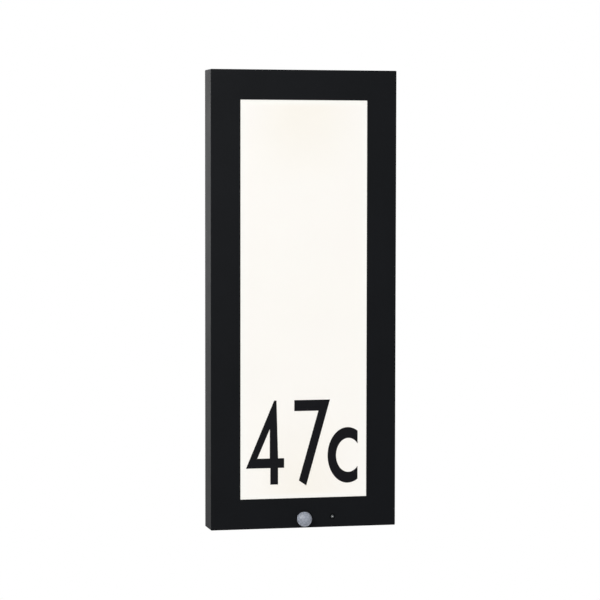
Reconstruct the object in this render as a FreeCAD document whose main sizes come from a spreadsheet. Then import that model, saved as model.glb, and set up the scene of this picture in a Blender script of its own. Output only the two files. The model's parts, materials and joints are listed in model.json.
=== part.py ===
import FreeCAD, Part
import math
import os
import Sketcher

# Illuminated house number sign for a wall: a cast frame with an opal panel lit from its edges,
# a motion sensor dome and a dusk sensor below the panel, and a steel plate behind it that the
# wall carries.
#
# The origin is on the wall, at the middle of the plate's back. X points to the right of someone
# who reads the sign, Z points up and the sign faces -Y. A depth is the distance from the wall,
# along -Y. Lengths are in millimetres.

Vector = FreeCAD.Vector

# ---------------------------------------------------------------- driving dimensions

SIZES = [
    ("sign_width", 171.0, "frame, side to side"),
    ("sign_height", 413.0, "frame, bottom to top"),
    ("sign_front", 28.0, "frame's face, from the wall"),
    ("rear_gap", 0.8, "frame's rear rim, from the wall"),
    ("border", 27.0, "frame's face, from its edge to the window"),
    ("frame_wall", 2.0, "frame's four side walls"),
    ("face_thickness", 2.0, "frame's face"),
    ("corner_radius", 0.8, "frame's four upright corners"),
    ("edge_radius", 0.4, "edge round the frame's face"),
    ("assembly_clearance", 0.3, "between pieces that slide past each other"),
    ("thread_clearance", 0.05, "between a thread and its hole, on the radius"),
    ("panel_overlap", 7.5, "opal panel's flange beyond the window"),
    ("panel_clearance", 0.2, "between the panel and the window's edge"),
    ("panel_setback", 0.5, "opal panel's face behind the frame's face"),
    ("panel_gasket_thickness", 0.5, "gasket between panel and frame"),
    ("panel_flange", 2.0, "opal panel's flange"),
    ("guide_thickness", 3.0, "light guide"),
    ("guide_overlap", 3.5, "light guide beyond the window"),
    ("reflector_thickness", 0.3, "white sheet behind the light guide"),
    ("chassis_thickness", 1.0, "chassis sheet"),
    ("chassis_end_margin", 4.5, "chassis to the rear opening, above and below"),
    ("chassis_side_margin", 0.5, "chassis to the rear opening, at its sides"),
    ("chip_length", 2.8, "light emitting chip, along its board"),
    ("chip_width", 2.4, "light emitting chip, across its board"),
    ("chip_thickness", 1.0, "light emitting chip, off its board"),
    ("chip_pitch", 14.0, "from chip to chip"),
    ("strip_thickness", 1.0, "board of the chips"),
    ("strip_length", 340.0, "board of the chips, bottom to top"),
    ("strip_end_margin", 0.5, "board of the chips beyond the chassis' flange, at each end"),
    ("figure_thickness", 0.3, "figures on the panel"),
    ("ledge_width", 10.0, "ledge inside the frame that the cover closes on"),
    ("ledge_thickness", 4.0, "ledge, front to back"),
    ("cover_level", 4.5, "back cover's rear face, from the wall"),
    ("cover_thickness", 1.5, "back cover"),
    ("cover_gasket_thickness", 1.0, "gasket between cover and ledge"),
    ("cover_gasket_width", 3.5, "gasket between cover and ledge"),
    ("cover_screw_inset", 2.8, "cover screws, from the frame's inner wall"),
    ("cover_screw_rise", 130.0, "side screws of the cover, from the middle"),
    ("cover_screw_spread", 25.0, "end screws of the cover, from the middle"),
    ("screw_radius", 1.2, "thread of the small screws"),
    ("screw_head_radius", 2.25, "head of the small screws"),
    ("screw_head_height", 1.5, "head of the small screws"),
    ("socket_radius", 0.9, "six-sided socket, across its corners, halved"),
    ("socket_depth", 0.8, "six-sided socket in a head"),
    ("cover_screw_length", 5.6, "thread of a cover screw"),
    ("boss_radius", 2.8, "bosses that carry the chassis"),
    ("boss_inset", 3.0, "bosses, from the chassis' side edge"),
    ("boss_rise", 150.0, "outer bosses, from the middle"),
    ("chassis_screw_length", 5.4, "thread of a chassis screw"),
    ("bore_margin", 0.4, "threaded bore beyond the end of its screw"),
    ("sheet_screw_length", 0.8, "thread that a screw has in the chassis sheet"),
    ("plate_thickness", 1.5, "wall plate"),
    ("plate_half_width", 68.0, "wall plate, from the middle to its side"),
    ("tab_inner", 45.0, "tabs of the wall plate, near side"),
    ("tab_outer", 65.0, "tabs of the wall plate, far side"),
    ("tab_reach", 12.5, "tabs' front edge, from the wall"),
    ("tab_side_clearance", 2.0, "between a tab and the sides of its channel"),
    ("tab_end_clearance", 1.5, "between a tab and the end of its channel"),
    ("channel_height", 6.0, "channel in the frame for a tab"),
    ("channel_wall", 1.5, "walls of a channel"),
    ("wall_hole_spread", 40.0, "wall screws, from the middle, sideways"),
    ("wall_hole_rise", 165.0, "wall screws, from the middle, upwards"),
    ("wall_hole_radius", 2.4, "slot for a wall screw, halved across"),
    ("wall_slot_travel", 6.0, "straight part of a wall screw's slot"),
    ("cable_opening_width", 50.0, "opening in the wall plate for the supply cable"),
    ("cable_opening_height", 40.0, "opening in the wall plate for the supply cable"),
    ("cable_level", -86.0, "height of the cable's opening and grommet"),
    ("grub_radius", 2.0, "locking screws under the sign"),
    ("grub_depth", 7.0, "locking screws, from the wall"),
    ("grub_socket_radius", 1.1, "socket of a locking screw"),
    ("grub_socket_depth", 1.2, "socket of a locking screw"),
    ("lid_opening_width", 48.0, "opening over the terminals"),
    ("lid_opening_height", 56.0, "opening over the terminals"),
    ("lid_level", -42.0, "height of the middle of the opening over the terminals"),
    ("lid_overlap", 5.0, "terminal lid beyond its opening"),
    ("lid_thickness", 1.5, "terminal lid"),
    ("lid_gasket_thickness", 0.5, "gasket under the terminal lid"),
    ("lid_screw_length", 3.6, "straight thread of a lid screw"),
    ("grommet_hole_radius", 6.0, "hole in the back cover"),
    ("grommet_bore_radius", 3.25, "bore for the supply cable"),
    ("grommet_flange", 2.0, "grommet's lips beyond its hole"),
    ("grommet_lip", 1.2, "grommet's lips, front to back"),
    ("block_level", -36.0, "height of the terminal block's middle"),
    ("block_width", 34.0, "terminal block"),
    ("block_height", 18.0, "terminal block"),
    ("block_depth", 12.0, "terminal block"),
    ("pole_pitch", 11.0, "from pole to pole"),
    ("block_foot", 3.0, "terminal block under the heads of its screws"),
    ("sleeve_radius", 2.6, "brass sleeve of a pole"),
    ("sleeve_bore_radius", 1.6, "brass sleeve's bore"),
    ("sleeve_inset", 1.5, "sleeve's end inside the block"),
    ("lead_depth", 14.0, "leads and sleeves, from the wall"),
    ("pole_screw_radius", 1.9, "screw over a sleeve"),
    ("pole_screw_length", 3.2, "screw over a sleeve"),
    ("pole_screw_rise", 4.5, "screws over a sleeve, from its middle"),
    ("clamp_level", -62.5, "height of the cable clamp's middle"),
    ("clamp_width", 22.0, "cable clamp"),
    ("clamp_height", 7.0, "cable clamp"),
    ("clamp_base_depth", 3.0, "cable clamp's base"),
    ("clamp_bar_depth", 1.6, "cable clamp's bar"),
    ("clamp_space", 6.0, "between base and bar"),
    ("clamp_screw_spread", 8.0, "clamp's screws, from the middle"),
    ("driver_level", 60.0, "height of the driver's lower end"),
    ("driver_length", 90.0, "driver"),
    ("driver_width", 38.0, "driver"),
    ("driver_wall", 1.0, "driver's case and lid"),
    ("driver_cover_gap", 0.6, "between the driver's lid and the back cover"),
    ("ear_length", 6.0, "ears of the driver's case"),
    ("ear_width", 12.0, "ears of the driver's case"),
    ("ear_thickness", 1.5, "ears of the driver's case"),
    ("circuit_thickness", 1.0, "driver's circuit board"),
    ("solder_space", 0.6, "under a circuit board, for its joints"),
    ("core_width", 16.0, "core of the driver's transformer"),
    ("core_length", 12.6, "core of the driver's transformer"),
    ("core_height", 8.0, "core of the driver's transformer"),
    ("former_width", 9.6, "coil former in the core"),
    ("former_length", 18.0, "coil former in the core"),
    ("former_height", 6.4, "coil former in the core"),
    ("capacitor_radius", 3.8, "driver's capacitors"),
    ("capacitor_length", 14.0, "driver's capacitors"),
    ("capacitor_rise", 12.0, "driver's capacitors, from the near end of the circuit board"),
    ("header_width", 28.0, "driver's wire headers"),
    ("header_length", 6.0, "driver's wire headers"),
    ("header_height", 6.5, "driver's wire headers"),
    ("lead_radius", 0.9, "live and neutral leads"),
    ("live_lead_turn", 32.0, "live lead, level of its upper bend"),
    ("neutral_lead_bend", 4.0, "neutral lead, level of its lower bend"),
    ("neutral_lead_turn", 36.0, "neutral lead, level of its upper bend"),
    ("earth_radius", 1.0, "earth lead"),
    ("earth_lead_bend", 17.0, "earth lead, its first bend, below the middle"),
    ("earth_rise_x", 7.0, "earth lead, where it rises, left of the middle"),
    ("earth_rise_depth", 16.4, "earth lead, where it rises, from the wall"),
    ("earth_rise_level", 9.5, "earth lead, where it rises, below the middle"),
    ("earth_crest_x", 19.0, "earth lead, at its crest, left of the middle"),
    ("earth_crest_depth", 17.2, "earth lead, at its crest, from the wall"),
    ("earth_crest_level", 13.0, "earth lead, at its crest, below the middle"),
    ("earth_lead_run", 16.0, "earth lead, straight run into the tag, from the tag's middle"),
    ("led_lead_radius", 0.8, "leads of the chips' boards"),
    ("led_lead_exit", 9.0, "leads of the chips' boards, straight out of the driver before they turn"),
    ("led_near_x", 24.0, "leads of the chips' boards, bend above the driver, from the middle"),
    ("led_near_level", 168.0, "leads of the chips' boards, bend above the driver"),
    ("led_far_x", 48.0, "leads of the chips' boards, bend beside the driver, from the middle"),
    ("led_far_level", 171.0, "leads of the chips' boards, bend beside the driver"),
    ("led_far_depth", 14.5, "leads of the chips' boards, bend beside the driver, from the wall"),
    ("led_end_depth", 15.2, "leads of the chips' boards, last bend, from the wall"),
    ("led_lead_rise", 7.0, "leads of the chips' boards, above the boards, where they pass the chassis"),
    ("lead_pass_clearance", 1.0, "round a lead where it passes the chassis"),
    ("sensor_lead_radius", 1.1, "lead of the sensor board"),
    ("sensor_lead_exit", 18.0, "sensor lead, straight out of its connector"),
    ("sensor_lead_drift", 48.0, "sensor lead, above its connector, where it has reached its side run"),
    ("sensor_lead_side", 31.0, "sensor lead, its side run, right of the middle"),
    ("sensor_lead_bulge", 34.0, "sensor lead, where it passes the lid, right of the middle"),
    ("sensor_bulge_level", 76.0, "sensor lead, where it passes the lid, below the middle"),
    ("sensor_return_level", 22.0, "sensor lead, end of its side run, below the middle"),
    ("sensor_approach_x", 21.0, "sensor lead, bend before the driver, right of the middle"),
    ("sensor_approach_drop", 42.0, "sensor lead, bend before the driver, below the driver's near end"),
    ("sensor_entry_drop", 18.0, "sensor lead, straight run into the driver"),
    ("lead_clearance", 0.25, "round a lead in a wall"),
    ("driver_lead_spread", 6.0, "leads in the driver's ends, from the middle"),
    ("sensor_lead_offset", 12.0, "sensor's lead in the driver's end, from the middle"),
    ("tag_x", -42.0, "earth tag's eye, sideways"),
    ("tag_level", -20.0, "earth tag's eye, height"),
    ("tag_radius", 4.0, "earth tag's eye"),
    ("tag_thickness", 0.8, "earth tag's eye"),
    ("barrel_radius", 1.5, "earth tag's barrel"),
    ("barrel_length", 7.0, "earth tag's barrel"),
    ("barrel_overlap", 0.8, "earth tag's barrel into its eye"),
    ("dome_level", 8.1, "motion sensor's dome, above the frame's bottom edge"),
    ("dome_radius", 7.4, "motion sensor's dome"),
    ("lens_clearance", 0.15, "round the dome and the light pipe in the face"),
    ("dome_wall", 1.0, "dome's wall"),
    ("dome_skirt", 1.0, "straight part of the dome in front of the face"),
    ("dome_flange_radius", 9.5, "dome's flange behind the face"),
    ("dome_flange_thickness", 1.1, "dome's flange"),
    ("dome_flange_bore", 5.3, "radius of the hole in the dome's flange"),
    ("holder_radius", 7.5, "holder between sensor board and dome"),
    ("holder_bore", 4.9, "holder's bore, radius"),
    ("detector_radius", 4.55, "motion detector's can"),
    ("detector_height", 5.2, "motion detector's can, off its board"),
    ("filter_width", 4.0, "detector's window"),
    ("filter_height", 3.0, "detector's window"),
    ("filter_thickness", 0.3, "detector's window"),
    ("pipe_x", 27.0, "light pipe, from the middle"),
    ("pipe_level", 9.3, "light pipe, above the frame's bottom edge"),
    ("pipe_radius", 1.5, "light pipe"),
    ("pipe_setback", 0.6, "light pipe's tip behind the frame's face"),
    ("pipe_flange_radius", 2.6, "light pipe's flange behind the face"),
    ("pipe_flange_thickness", 1.2, "light pipe's flange"),
    ("recess_radius", 2.9, "recess round the light pipe"),
    ("recess_depth", 0.9, "recess round the light pipe"),
    ("photocell_radius", 2.5, "light sensor under the pipe"),
    ("photocell_height", 1.8, "light sensor under the pipe"),
    ("sensor_board_left", -30.0, "sensor board's left edge, from the middle"),
    ("sensor_board_right", 40.0, "sensor board's right edge, from the middle"),
    ("sensor_board_height", 31.5, "sensor board"),
    ("sensor_board_margin", 1.0, "sensor board above the frame's bottom wall"),
    ("sensor_board_thickness", 1.6, "sensor board"),
    ("spacer_thickness", 0.7, "between sensor board and chassis"),
    ("spacer_radius", 2.4, "between sensor board and chassis"),
    ("sensor_screw_inset", 4.0, "sensor board's screws, from its edges"),
    ("trimmer_size", 7.0, "trimmers on the sensor board"),
    ("trimmer_height", 4.0, "trimmers on the sensor board"),
    ("trimmer_spread", 5.5, "trimmers, from the middle between them"),
    ("trimmer_x", -12.0, "middle between the trimmers"),
    ("trimmer_drop", 10.0, "trimmers, below the sensor board's top"),
    ("dial_radius", 2.8, "setting dials"),
    ("dial_thickness", 1.6, "setting dials"),
    ("dial_gap", 0.3, "between a dial and its trimmer"),
    ("dial_slot_width", 0.8, "screwdriver slot of a dial"),
    ("dial_slot_depth", 0.7, "screwdriver slot of a dial"),
    ("stem_radius", 1.0, "dial's stem"),
    ("stem_clearance", 0.05, "round a dial's stem"),
    ("stem_length", 2.0, "dial's stem inside its trimmer"),
    ("connector_width", 9.0, "sensor board's connector"),
    ("connector_length", 6.0, "sensor board's connector"),
    ("connector_height", 5.2, "sensor board's connector"),
    ("connector_x", 20.0, "sensor board's connector, from the middle"),
    ("connector_drop", 9.0, "connector, below the sensor board's top"),
    ("figures_rise", 13.0, "foot of the figures, above the window's bottom"),
    ("figures_left", 5.2, "row of figures, from the window's left"),
    ("figures_right", 8.4, "row of figures, from the window's right"),
    ("drawn_left", 5.2, "left end of the figures' drawing, which is made to fit the row"),
    ("drawn_right", 108.6, "right end of the drawing; the values down to c_end are measured in it"),
    ("figure_bottom", 13.0, "foot of the figures"),
    ("figure_top", 89.0, "head of the figures"),
    ("four_tip", 5.2, "left tip of the 4"),
    ("four_bar_bottom", 28.0, "crossbar of the 4, lower edge"),
    ("four_bar_top", 36.7, "crossbar of the 4, upper edge"),
    ("four_bar_end", 40.3, "crossbar of the 4, right end"),
    ("four_stem_left", 27.6, "stem of the 4, left edge"),
    ("four_stem_right", 34.7, "stem of the 4, right edge"),
    ("four_head_left", 31.1, "head of the 4, left edge"),
    ("four_head_right", 33.2, "head of the 4, right edge"),
    ("four_eye_left", 15.5, "eye of the 4, left corner"),
    ("four_eye_right", 27.1, "eye of the 4, right corner"),
    ("four_eye_top", 63.4, "eye of the 4, upper corner"),
    ("seven_left", 49.7, "bar of the 7, left end"),
    ("seven_right", 82.7, "bar of the 7, right end"),
    ("seven_bar_bottom", 79.1, "bar of the 7, lower edge"),
    ("seven_neck", 72.1, "corner under the bar of the 7"),
    ("seven_foot_left", 54.0, "foot of the 7, left"),
    ("seven_foot_left_rise", 16.0, "foot of the 7, left, height"),
    ("seven_foot_right", 60.8, "foot of the 7, right"),
    ("seven_foot_right_rise", 11.4, "foot of the 7, right, height"),
    ("c_middle_x", 99.3, "outer curve of the c, middle"),
    ("c_middle_rise", 38.2, "curves of the c, height of their middle"),
    ("c_half_width", 18.6, "outer curve of the c"),
    ("c_half_height", 25.3, "outer curve of the c"),
    ("c_eye_x", 100.0, "inner curve of the c, middle"),
    ("c_eye_half_width", 11.5, "inner curve of the c"),
    ("c_eye_half_height", 15.5, "inner curve of the c"),
    ("c_end", 108.6, "ends of the c"),
]

doc = FreeCAD.newDocument("HouseNumberSign")
sheet = doc.addObject("Spreadsheet::Sheet", "Sizes")
for row, (alias, value, meaning) in enumerate(SIZES, 1):
    sheet.set(f"A{row}", alias)
    sheet.set(f"B{row}", str(value))
    sheet.set(f"C{row}", meaning)
    sheet.setAlias(f"B{row}", alias)
doc.recompute()


class Length:
    """A length: its value in millimetres, and the expression that ties it to the sheet."""

    def __init__(self, value, text):
        self.value = float(value)
        self.text = text

    def __add__(self, other):
        other = length(other)
        return Length(self.value + other.value, f"({self.text} + {other.text})")

    def __radd__(self, other):
        return length(other) + self

    def __sub__(self, other):
        other = length(other)
        return Length(self.value - other.value, f"({self.text} - {other.text})")

    def __rsub__(self, other):
        return length(other) - self

    def __mul__(self, factor):
        factor = length(factor)
        return Length(self.value * factor.value, f"({self.text} * {factor.text})")

    def __rmul__(self, factor):
        return self * factor

    def __truediv__(self, factor):
        factor = length(factor)
        return Length(self.value / factor.value, f"({self.text} / {factor.text})")

    def __neg__(self):
        return Length(-self.value, f"(0 - {self.text})")


def length(item):
    """The item as a Length; a plain number stands for itself."""
    if isinstance(item, Length):
        return item
    return Length(item, str(item))


class Sizes:
    """The sheet's cells by name, each as a Length."""

    def __getattr__(self, alias):
        return Length(sheet.get(alias), f"Sizes.{alias}")


size = Sizes()
pieces = []


# ---------------------------------------------------------------- ways to make a piece

def bind(thing, **values):
    """Ties properties to lengths; x, y and z are the place."""
    for name, value in values.items():
        path = f"Placement.Base.{name}" if name in ("x", "y", "z") else name
        thing.setExpression(path, length(value).text)
    return thing


def keep(thing, label):
    """Names a finished piece."""
    thing.Label = label
    pieces.append(thing)
    return thing


def polygon(*corners):
    """An outline through the corners, each held by its two distances from the origin."""
    def draw(sketch):
        spots = [Vector(length(across).value, length(up).value, 0) for across, up in corners]
        first = sketch.GeometryCount
        count = len(spots)
        for index in range(count):
            sketch.addGeometry(Part.LineSegment(spots[index], spots[(index + 1) % count]), False)
        for index in range(count):
            following = first + (index + 1) % count
            sketch.addConstraint(Sketcher.Constraint("Coincident", first + index, 2, following, 1))
        for index, corner in enumerate(corners):
            hold_point(sketch, first + index, 1, corner)
    return draw


def rectangle(left, right, bottom, top):
    return polygon((left, bottom), (right, bottom), (right, top), (left, top))


def centred(width, height):
    """A rectangle about the origin."""
    return rectangle(-width / 2, width / 2, -height / 2, height / 2)


def disc(across, up, radius):
    """A circle held by its middle and its radius."""
    def draw(sketch):
        middle = Vector(length(across).value, length(up).value, 0)
        circle = Part.Circle(middle, Vector(0, 0, 1), length(radius).value)
        index = sketch.addGeometry(circle, False)
        hold_point(sketch, index, 3, (across, up))
        rule = sketch.addConstraint(Sketcher.Constraint("Radius", index, length(radius).value))
        sketch.setExpression(f"Constraints[{rule}]", length(radius).text)
    return draw


def hold_point(sketch, curve, point, place):
    """Holds a curve's point at its two distances from the sketch's origin."""
    for kind, value in zip(("DistanceX", "DistanceY"), place):
        value = length(value)
        rule = sketch.addConstraint(Sketcher.Constraint(kind, -1, 1, curve, point, value.value))
        sketch.setExpression(f"Constraints[{rule}]", value.text)


class Solid:
    """A body made of pads and cuts. Its outlines are parallel to the wall, in X and Z, and its
    levels are depths; with plane="XY_Plane" they are in X and Y, and its levels are heights."""

    def __init__(self, label):
        self.body = keep(doc.addObject("PartDesign::Body", label), label)

    def sketch(self, plane, level, outlines):
        origin = self.body.Origin.OriginFeatures
        support = next(item for item in origin if item.Role == plane)
        sketch = self.body.newObject("Sketcher::SketchObject", "Outline")
        sketch.AttachmentSupport = [(support, "")]
        sketch.MapMode = "FlatFace"
        sketch.setExpression("AttachmentOffset.Base.z", length(level).text)
        for draw in outlines:
            draw(sketch)
        return sketch

    def pad(self, low, high, *outlines, plane="XZ_Plane"):
        profile = self.sketch(plane, low, outlines)
        feature = self.body.newObject("PartDesign::Pad", "Pad")
        feature.Profile = profile
        bind(feature, Length=high - low)
        return self

    def cut(self, low, high, *outlines, plane="XZ_Plane"):
        profile = self.sketch(plane, high, outlines)
        feature = self.body.newObject("PartDesign::Pocket", "Pocket")
        feature.Profile = profile
        bind(feature, Length=high - low)
        return self

    def round_edges(self, radius, wanted):
        """Rounds the edges that the test accepts."""
        doc.recompute()
        base = self.body.Tip
        names = [f"Edge{n}" for n, edge in enumerate(base.Shape.Edges, 1) if wanted(edge)]
        feature = self.body.newObject("PartDesign::Fillet", "Fillet")
        feature.Base = (base, names)
        bind(feature, Radius=radius)
        return self


def block(left, right, bottom, top, low, high):
    """A box from its sides, its heights and its depths."""
    box = doc.addObject("Part::Box", "Block")
    bind(box, Length=right - left, Height=top - bottom, Width=high - low)
    return bind(box, x=left, y=-high, z=bottom)


def forward_rod(across, up, radius, low, high):
    """A cylinder that points away from the wall, from one depth to another."""
    rod = doc.addObject("Part::Cylinder", "Rod")
    rod.Placement.Rotation = FreeCAD.Rotation(Vector(1, 0, 0), 90)
    bind(rod, Radius=radius, Height=high - low)
    return bind(rod, x=across, y=-low, z=up)


def upright_rod(across, depth, radius, bottom, top):
    """A cylinder that points up."""
    rod = doc.addObject("Part::Cylinder", "Rod")
    bind(rod, Radius=radius, Height=top - bottom)
    return bind(rod, x=across, y=-depth, z=bottom)


def sideways_rod(left, right, depth, up, radius):
    """A cylinder that points to the right."""
    rod = doc.addObject("Part::Cylinder", "Rod")
    rod.Placement.Rotation = FreeCAD.Rotation(Vector(0, 1, 0), 90)
    bind(rod, Radius=radius, Height=right - left)
    return bind(rod, x=left, y=-depth, z=up)


def ball(across, up, depth, radius):
    sphere = doc.addObject("Part::Sphere", "Ball")
    bind(sphere, Radius=radius)
    return bind(sphere, x=across, y=-depth, z=up)


def hexagon(across, up, radius, low, high):
    """A six-sided prism that points away from the wall."""
    prism = doc.addObject("Part::Prism", "Hexagon")
    prism.Polygon = 6
    prism.Placement.Rotation = FreeCAD.Rotation(Vector(1, 0, 0), 90)
    bind(prism, Circumradius=radius, Height=high - low)
    return bind(prism, x=across, y=-low, z=up)


def fused(*parts):
    whole = doc.addObject("Part::MultiFuse", "Fused")
    whole.Shapes = list(parts)
    return whole


def less(base, *tools):
    """The base with the tools taken away."""
    cut = doc.addObject("Part::Cut", "Less")
    cut.Base = base
    cut.Tool = tools[0] if len(tools) == 1 else fused(*tools)
    return cut


def group(parts, label):
    """Separate solids that share one name."""
    together = doc.addObject("Part::Compound", label)
    together.Links = parts
    return keep(together, label)


def screw(across, up, seat, thread_length):
    """A screw driven from behind: its head ends at the seat, its thread goes forward."""
    head = forward_rod(across, up, size.screw_head_radius, seat - size.screw_head_height, seat)
    thread = forward_rod(across, up, size.screw_radius, seat, seat + thread_length)
    head_end = seat - size.screw_head_height
    socket = hexagon(across, up, size.socket_radius, head_end, head_end + size.socket_depth)
    return less(fused(head, thread), socket)


def screws(label, places, seat, thread_length):
    return group([screw(across, up, seat, thread_length) for across, up in places], label)


def lead(label, radius, *route):
    """A lead of round section: straight runs between the points of its route, given as x, depth
    and height, joined by arcs that each take 0.45 of the shorter of their two runs."""
    spots = [Vector(*(length(part).value for part in (x, -depth, z))) for x, depth, z in route]
    edges = []
    start = spots[0]
    for before, corner, after in zip(spots, spots[1:], spots[2:]):
        come = (corner - before).normalize()
        leave = (after - corner).normalize()
        reach = 0.45 * min((corner - before).Length, (after - corner).Length)
        first = corner - come * reach
        last = corner + leave * reach
        inward = (leave - come).normalize()
        half_turn = come.getAngle(leave) / 2
        bend = reach / math.tan(half_turn)
        middle = corner + inward * (bend / math.cos(half_turn) - bend)
        edges.append(Part.LineSegment(start, first).toShape())
        edges.append(Part.Arc(first, middle, last).toShape())
        start = last
    edges.append(Part.LineSegment(start, spots[-1]).toShape())
    path = Part.Wire(edges)
    direction = spots[1] - spots[0]
    section = Part.Wire([Part.Circle(spots[0], direction, radius.value).toShape()])
    tube = path.makePipeShell([section], True, False)
    expected = math.pi * radius.value ** 2 * path.Length
    print(f"{label}: length {path.Length:.1f}, volume {tube.Volume:.1f} of {expected:.1f}")
    made = doc.addObject("Part::Feature", label)
    made.Shape = tube
    made.Placement = FreeCAD.Placement()
    return keep(made, label)


# ---------------------------------------------------------------- shared places

SIDES = (-1, 1)

# the frame's outside, its cavity and its window
half_width = size.sign_width / 2
half_height = size.sign_height / 2
cavity_half_width = half_width - size.frame_wall
cavity_half_height = half_height - size.frame_wall
window_half_width = half_width - size.border
window_half_height = half_height - size.border

# depths, from the face back to the chassis
face_back = size.sign_front - size.face_thickness
flange_front = face_back - size.panel_gasket_thickness
guide_front = flange_front - size.panel_flange
guide_back = guide_front - size.guide_thickness
chassis_front = guide_back - size.reflector_thickness
chassis_back = chassis_front - size.chassis_thickness
panel_face = size.sign_front - size.panel_setback

# depths, from the wall up to the ledge that the cover closes on
cover_front = size.cover_level + size.cover_thickness
ledge_back = cover_front + size.cover_gasket_thickness
ledge_front = ledge_back + size.ledge_thickness

# the opening inside the ledge, through which everything goes in
opening_half_width = cavity_half_width - size.ledge_width
opening_half_height = cavity_half_height - size.ledge_width
chassis_half_width = opening_half_width - size.chassis_side_margin
chassis_half_height = opening_half_height - size.chassis_end_margin

# holes for screws
bore_radius = size.screw_radius + size.thread_clearance
loose_radius = size.screw_radius + size.assembly_clearance

boss_x = chassis_half_width - size.boss_inset
boss_places = [(side * boss_x, rise) for side in SIDES
               for rise in (-size.boss_rise, length(0), size.boss_rise)]

cover_x = cavity_half_width - size.cover_screw_inset
cover_z = cavity_half_height - size.cover_screw_inset
cover_places = [(side * cover_x, rise) for side in SIDES
                for rise in (-size.cover_screw_rise, length(0), size.cover_screw_rise)]
cover_places += [(side * size.cover_screw_spread, end * cover_z) for side in SIDES for end in SIDES]

grub_x = (size.tab_inner + size.tab_outer) / 2
channel_near = size.tab_inner - size.tab_side_clearance
channel_far = size.tab_outer + size.tab_side_clearance
channel_low = cavity_half_height - size.channel_height
channel_end = size.tab_reach + size.tab_end_clearance

lid_half_width = size.lid_opening_width / 2 + size.lid_overlap
lid_half_height = size.lid_opening_height / 2 + size.lid_overlap
lid_front = size.cover_level - size.lid_gasket_thickness
lid_back = lid_front - size.lid_thickness
lid_places = [(side * (lid_half_width - size.lid_overlap / 2),
               size.lid_level + end * (lid_half_height - size.lid_overlap / 2))
              for side in SIDES for end in SIDES]

strip_near = window_half_width + size.guide_overlap + size.assembly_clearance + size.chip_thickness
strip_far = strip_near + size.strip_thickness
strip_top = size.strip_length / 2

pole_places = [-size.pole_pitch, length(0), size.pole_pitch]
block_places = [(side * size.pole_pitch / 2, size.block_level) for side in SIDES]
block_back = chassis_back - size.block_depth
block_seat = chassis_back - size.block_foot
block_bottom = size.block_level - size.block_height / 2
block_top = size.block_level + size.block_height / 2

clamp_places = [(side * size.clamp_screw_spread, size.clamp_level) for side in SIDES]
clamp_base_back = chassis_back - size.clamp_base_depth
clamp_bar_front = clamp_base_back - size.clamp_space
clamp_bar_back = clamp_bar_front - size.clamp_bar_depth

driver_top = size.driver_level + size.driver_length
driver_half_width = size.driver_width / 2
driver_lid_back = cover_front + size.driver_cover_gap
driver_case_back = driver_lid_back + size.driver_wall
driver_floor = chassis_back - size.driver_wall
circuit_front = driver_floor - size.solder_space
circuit_back = circuit_front - size.circuit_thickness
circuit_bottom = size.driver_level + size.driver_wall + size.assembly_clearance
circuit_top = driver_top - size.driver_wall - size.assembly_clearance
driver_middle = (size.driver_level + driver_top) / 2
ear_places = [(length(0), size.driver_level - size.ear_length / 2),
              (length(0), driver_top + size.ear_length / 2)]

dome_z = size.dome_level - half_height
pipe_z = size.pipe_level - half_height
flat_z = size.assembly_clearance - cavity_half_height
sensor_bottom = size.sensor_board_margin - cavity_half_height
sensor_top = sensor_bottom + size.sensor_board_height
sensor_front = chassis_back - size.spacer_thickness
sensor_back = sensor_front - size.sensor_board_thickness
sensor_places = [(size.sensor_board_left + size.sensor_screw_inset, sensor_top - size.sensor_screw_inset),
                 (size.sensor_board_right - size.sensor_screw_inset, sensor_top - size.sensor_screw_inset)]
dome_flange_back = face_back - size.dome_flange_thickness
dome_middle = size.sign_front + size.dome_skirt
trimmer_z = sensor_top - size.trimmer_drop
trimmer_back = sensor_back - size.trimmer_height
trimmer_places = [size.trimmer_x - size.trimmer_spread, size.trimmer_x + size.trimmer_spread]
connector_z = sensor_top - size.connector_drop

earth_place = (size.tag_x, size.tag_level)
barrel_depth = chassis_back - size.barrel_radius
barrel_near = size.tag_x + size.tag_radius - size.barrel_overlap
led_lead_x = (strip_near + strip_far) / 2
led_lead_z = strip_top + size.led_lead_rise


def corner_rectangle(side, end, near, far, low, high):
    """A rectangle in one quarter of the plane, between distances from the two middle lines."""
    left, right = (near, far) if side > 0 else (-far, -near)
    bottom, top = (low, high) if end > 0 else (-high, -low)
    return rectangle(left, right, bottom, top)


def quarters(near, far, low, high):
    """The same rectangle in all four quarters."""
    return [corner_rectangle(side, end, near, far, low, high) for side in SIDES for end in SIDES]


def discs(places, radius):
    return [disc(across, up, radius) for across, up in places]


def around(level, width, height):
    """A rectangle about a point on the upright middle line."""
    return rectangle(-width / 2, width / 2, level - height / 2, level + height / 2)


# ---------------------------------------------------------------- wall plate

plate_half_height = cavity_half_height - size.assembly_clearance
wall_slots = [(side * size.wall_hole_spread, end * size.wall_hole_rise) for side in SIDES for end in SIDES]
slot_half = size.wall_slot_travel / 2

wall_plate = Solid("wall_plate")
wall_plate.pad(length(0), size.plate_thickness, centred(2 * size.plate_half_width, 2 * plate_half_height))
wall_plate.pad(size.plate_thickness, size.tab_reach,
               *quarters(size.tab_inner, size.tab_outer, plate_half_height - size.plate_thickness,
                         plate_half_height))
wall_plate.cut(length(0), size.plate_thickness,
               around(size.cable_level, size.cable_opening_width, size.cable_opening_height))
wall_plate.cut(length(0), size.plate_thickness,
               *[rectangle(x - slot_half, x + slot_half, z - size.wall_hole_radius, z + size.wall_hole_radius)
                 for x, z in wall_slots])
for side in SIDES:
    wall_plate.cut(length(0), size.plate_thickness,
                   *discs([(x + side * slot_half, z) for x, z in wall_slots], size.wall_hole_radius))


# ---------------------------------------------------------------- frame

def runs_forward(edge):
    box = edge.BoundBox
    return box.XLength < 0.001 and box.ZLength < 0.001


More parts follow.
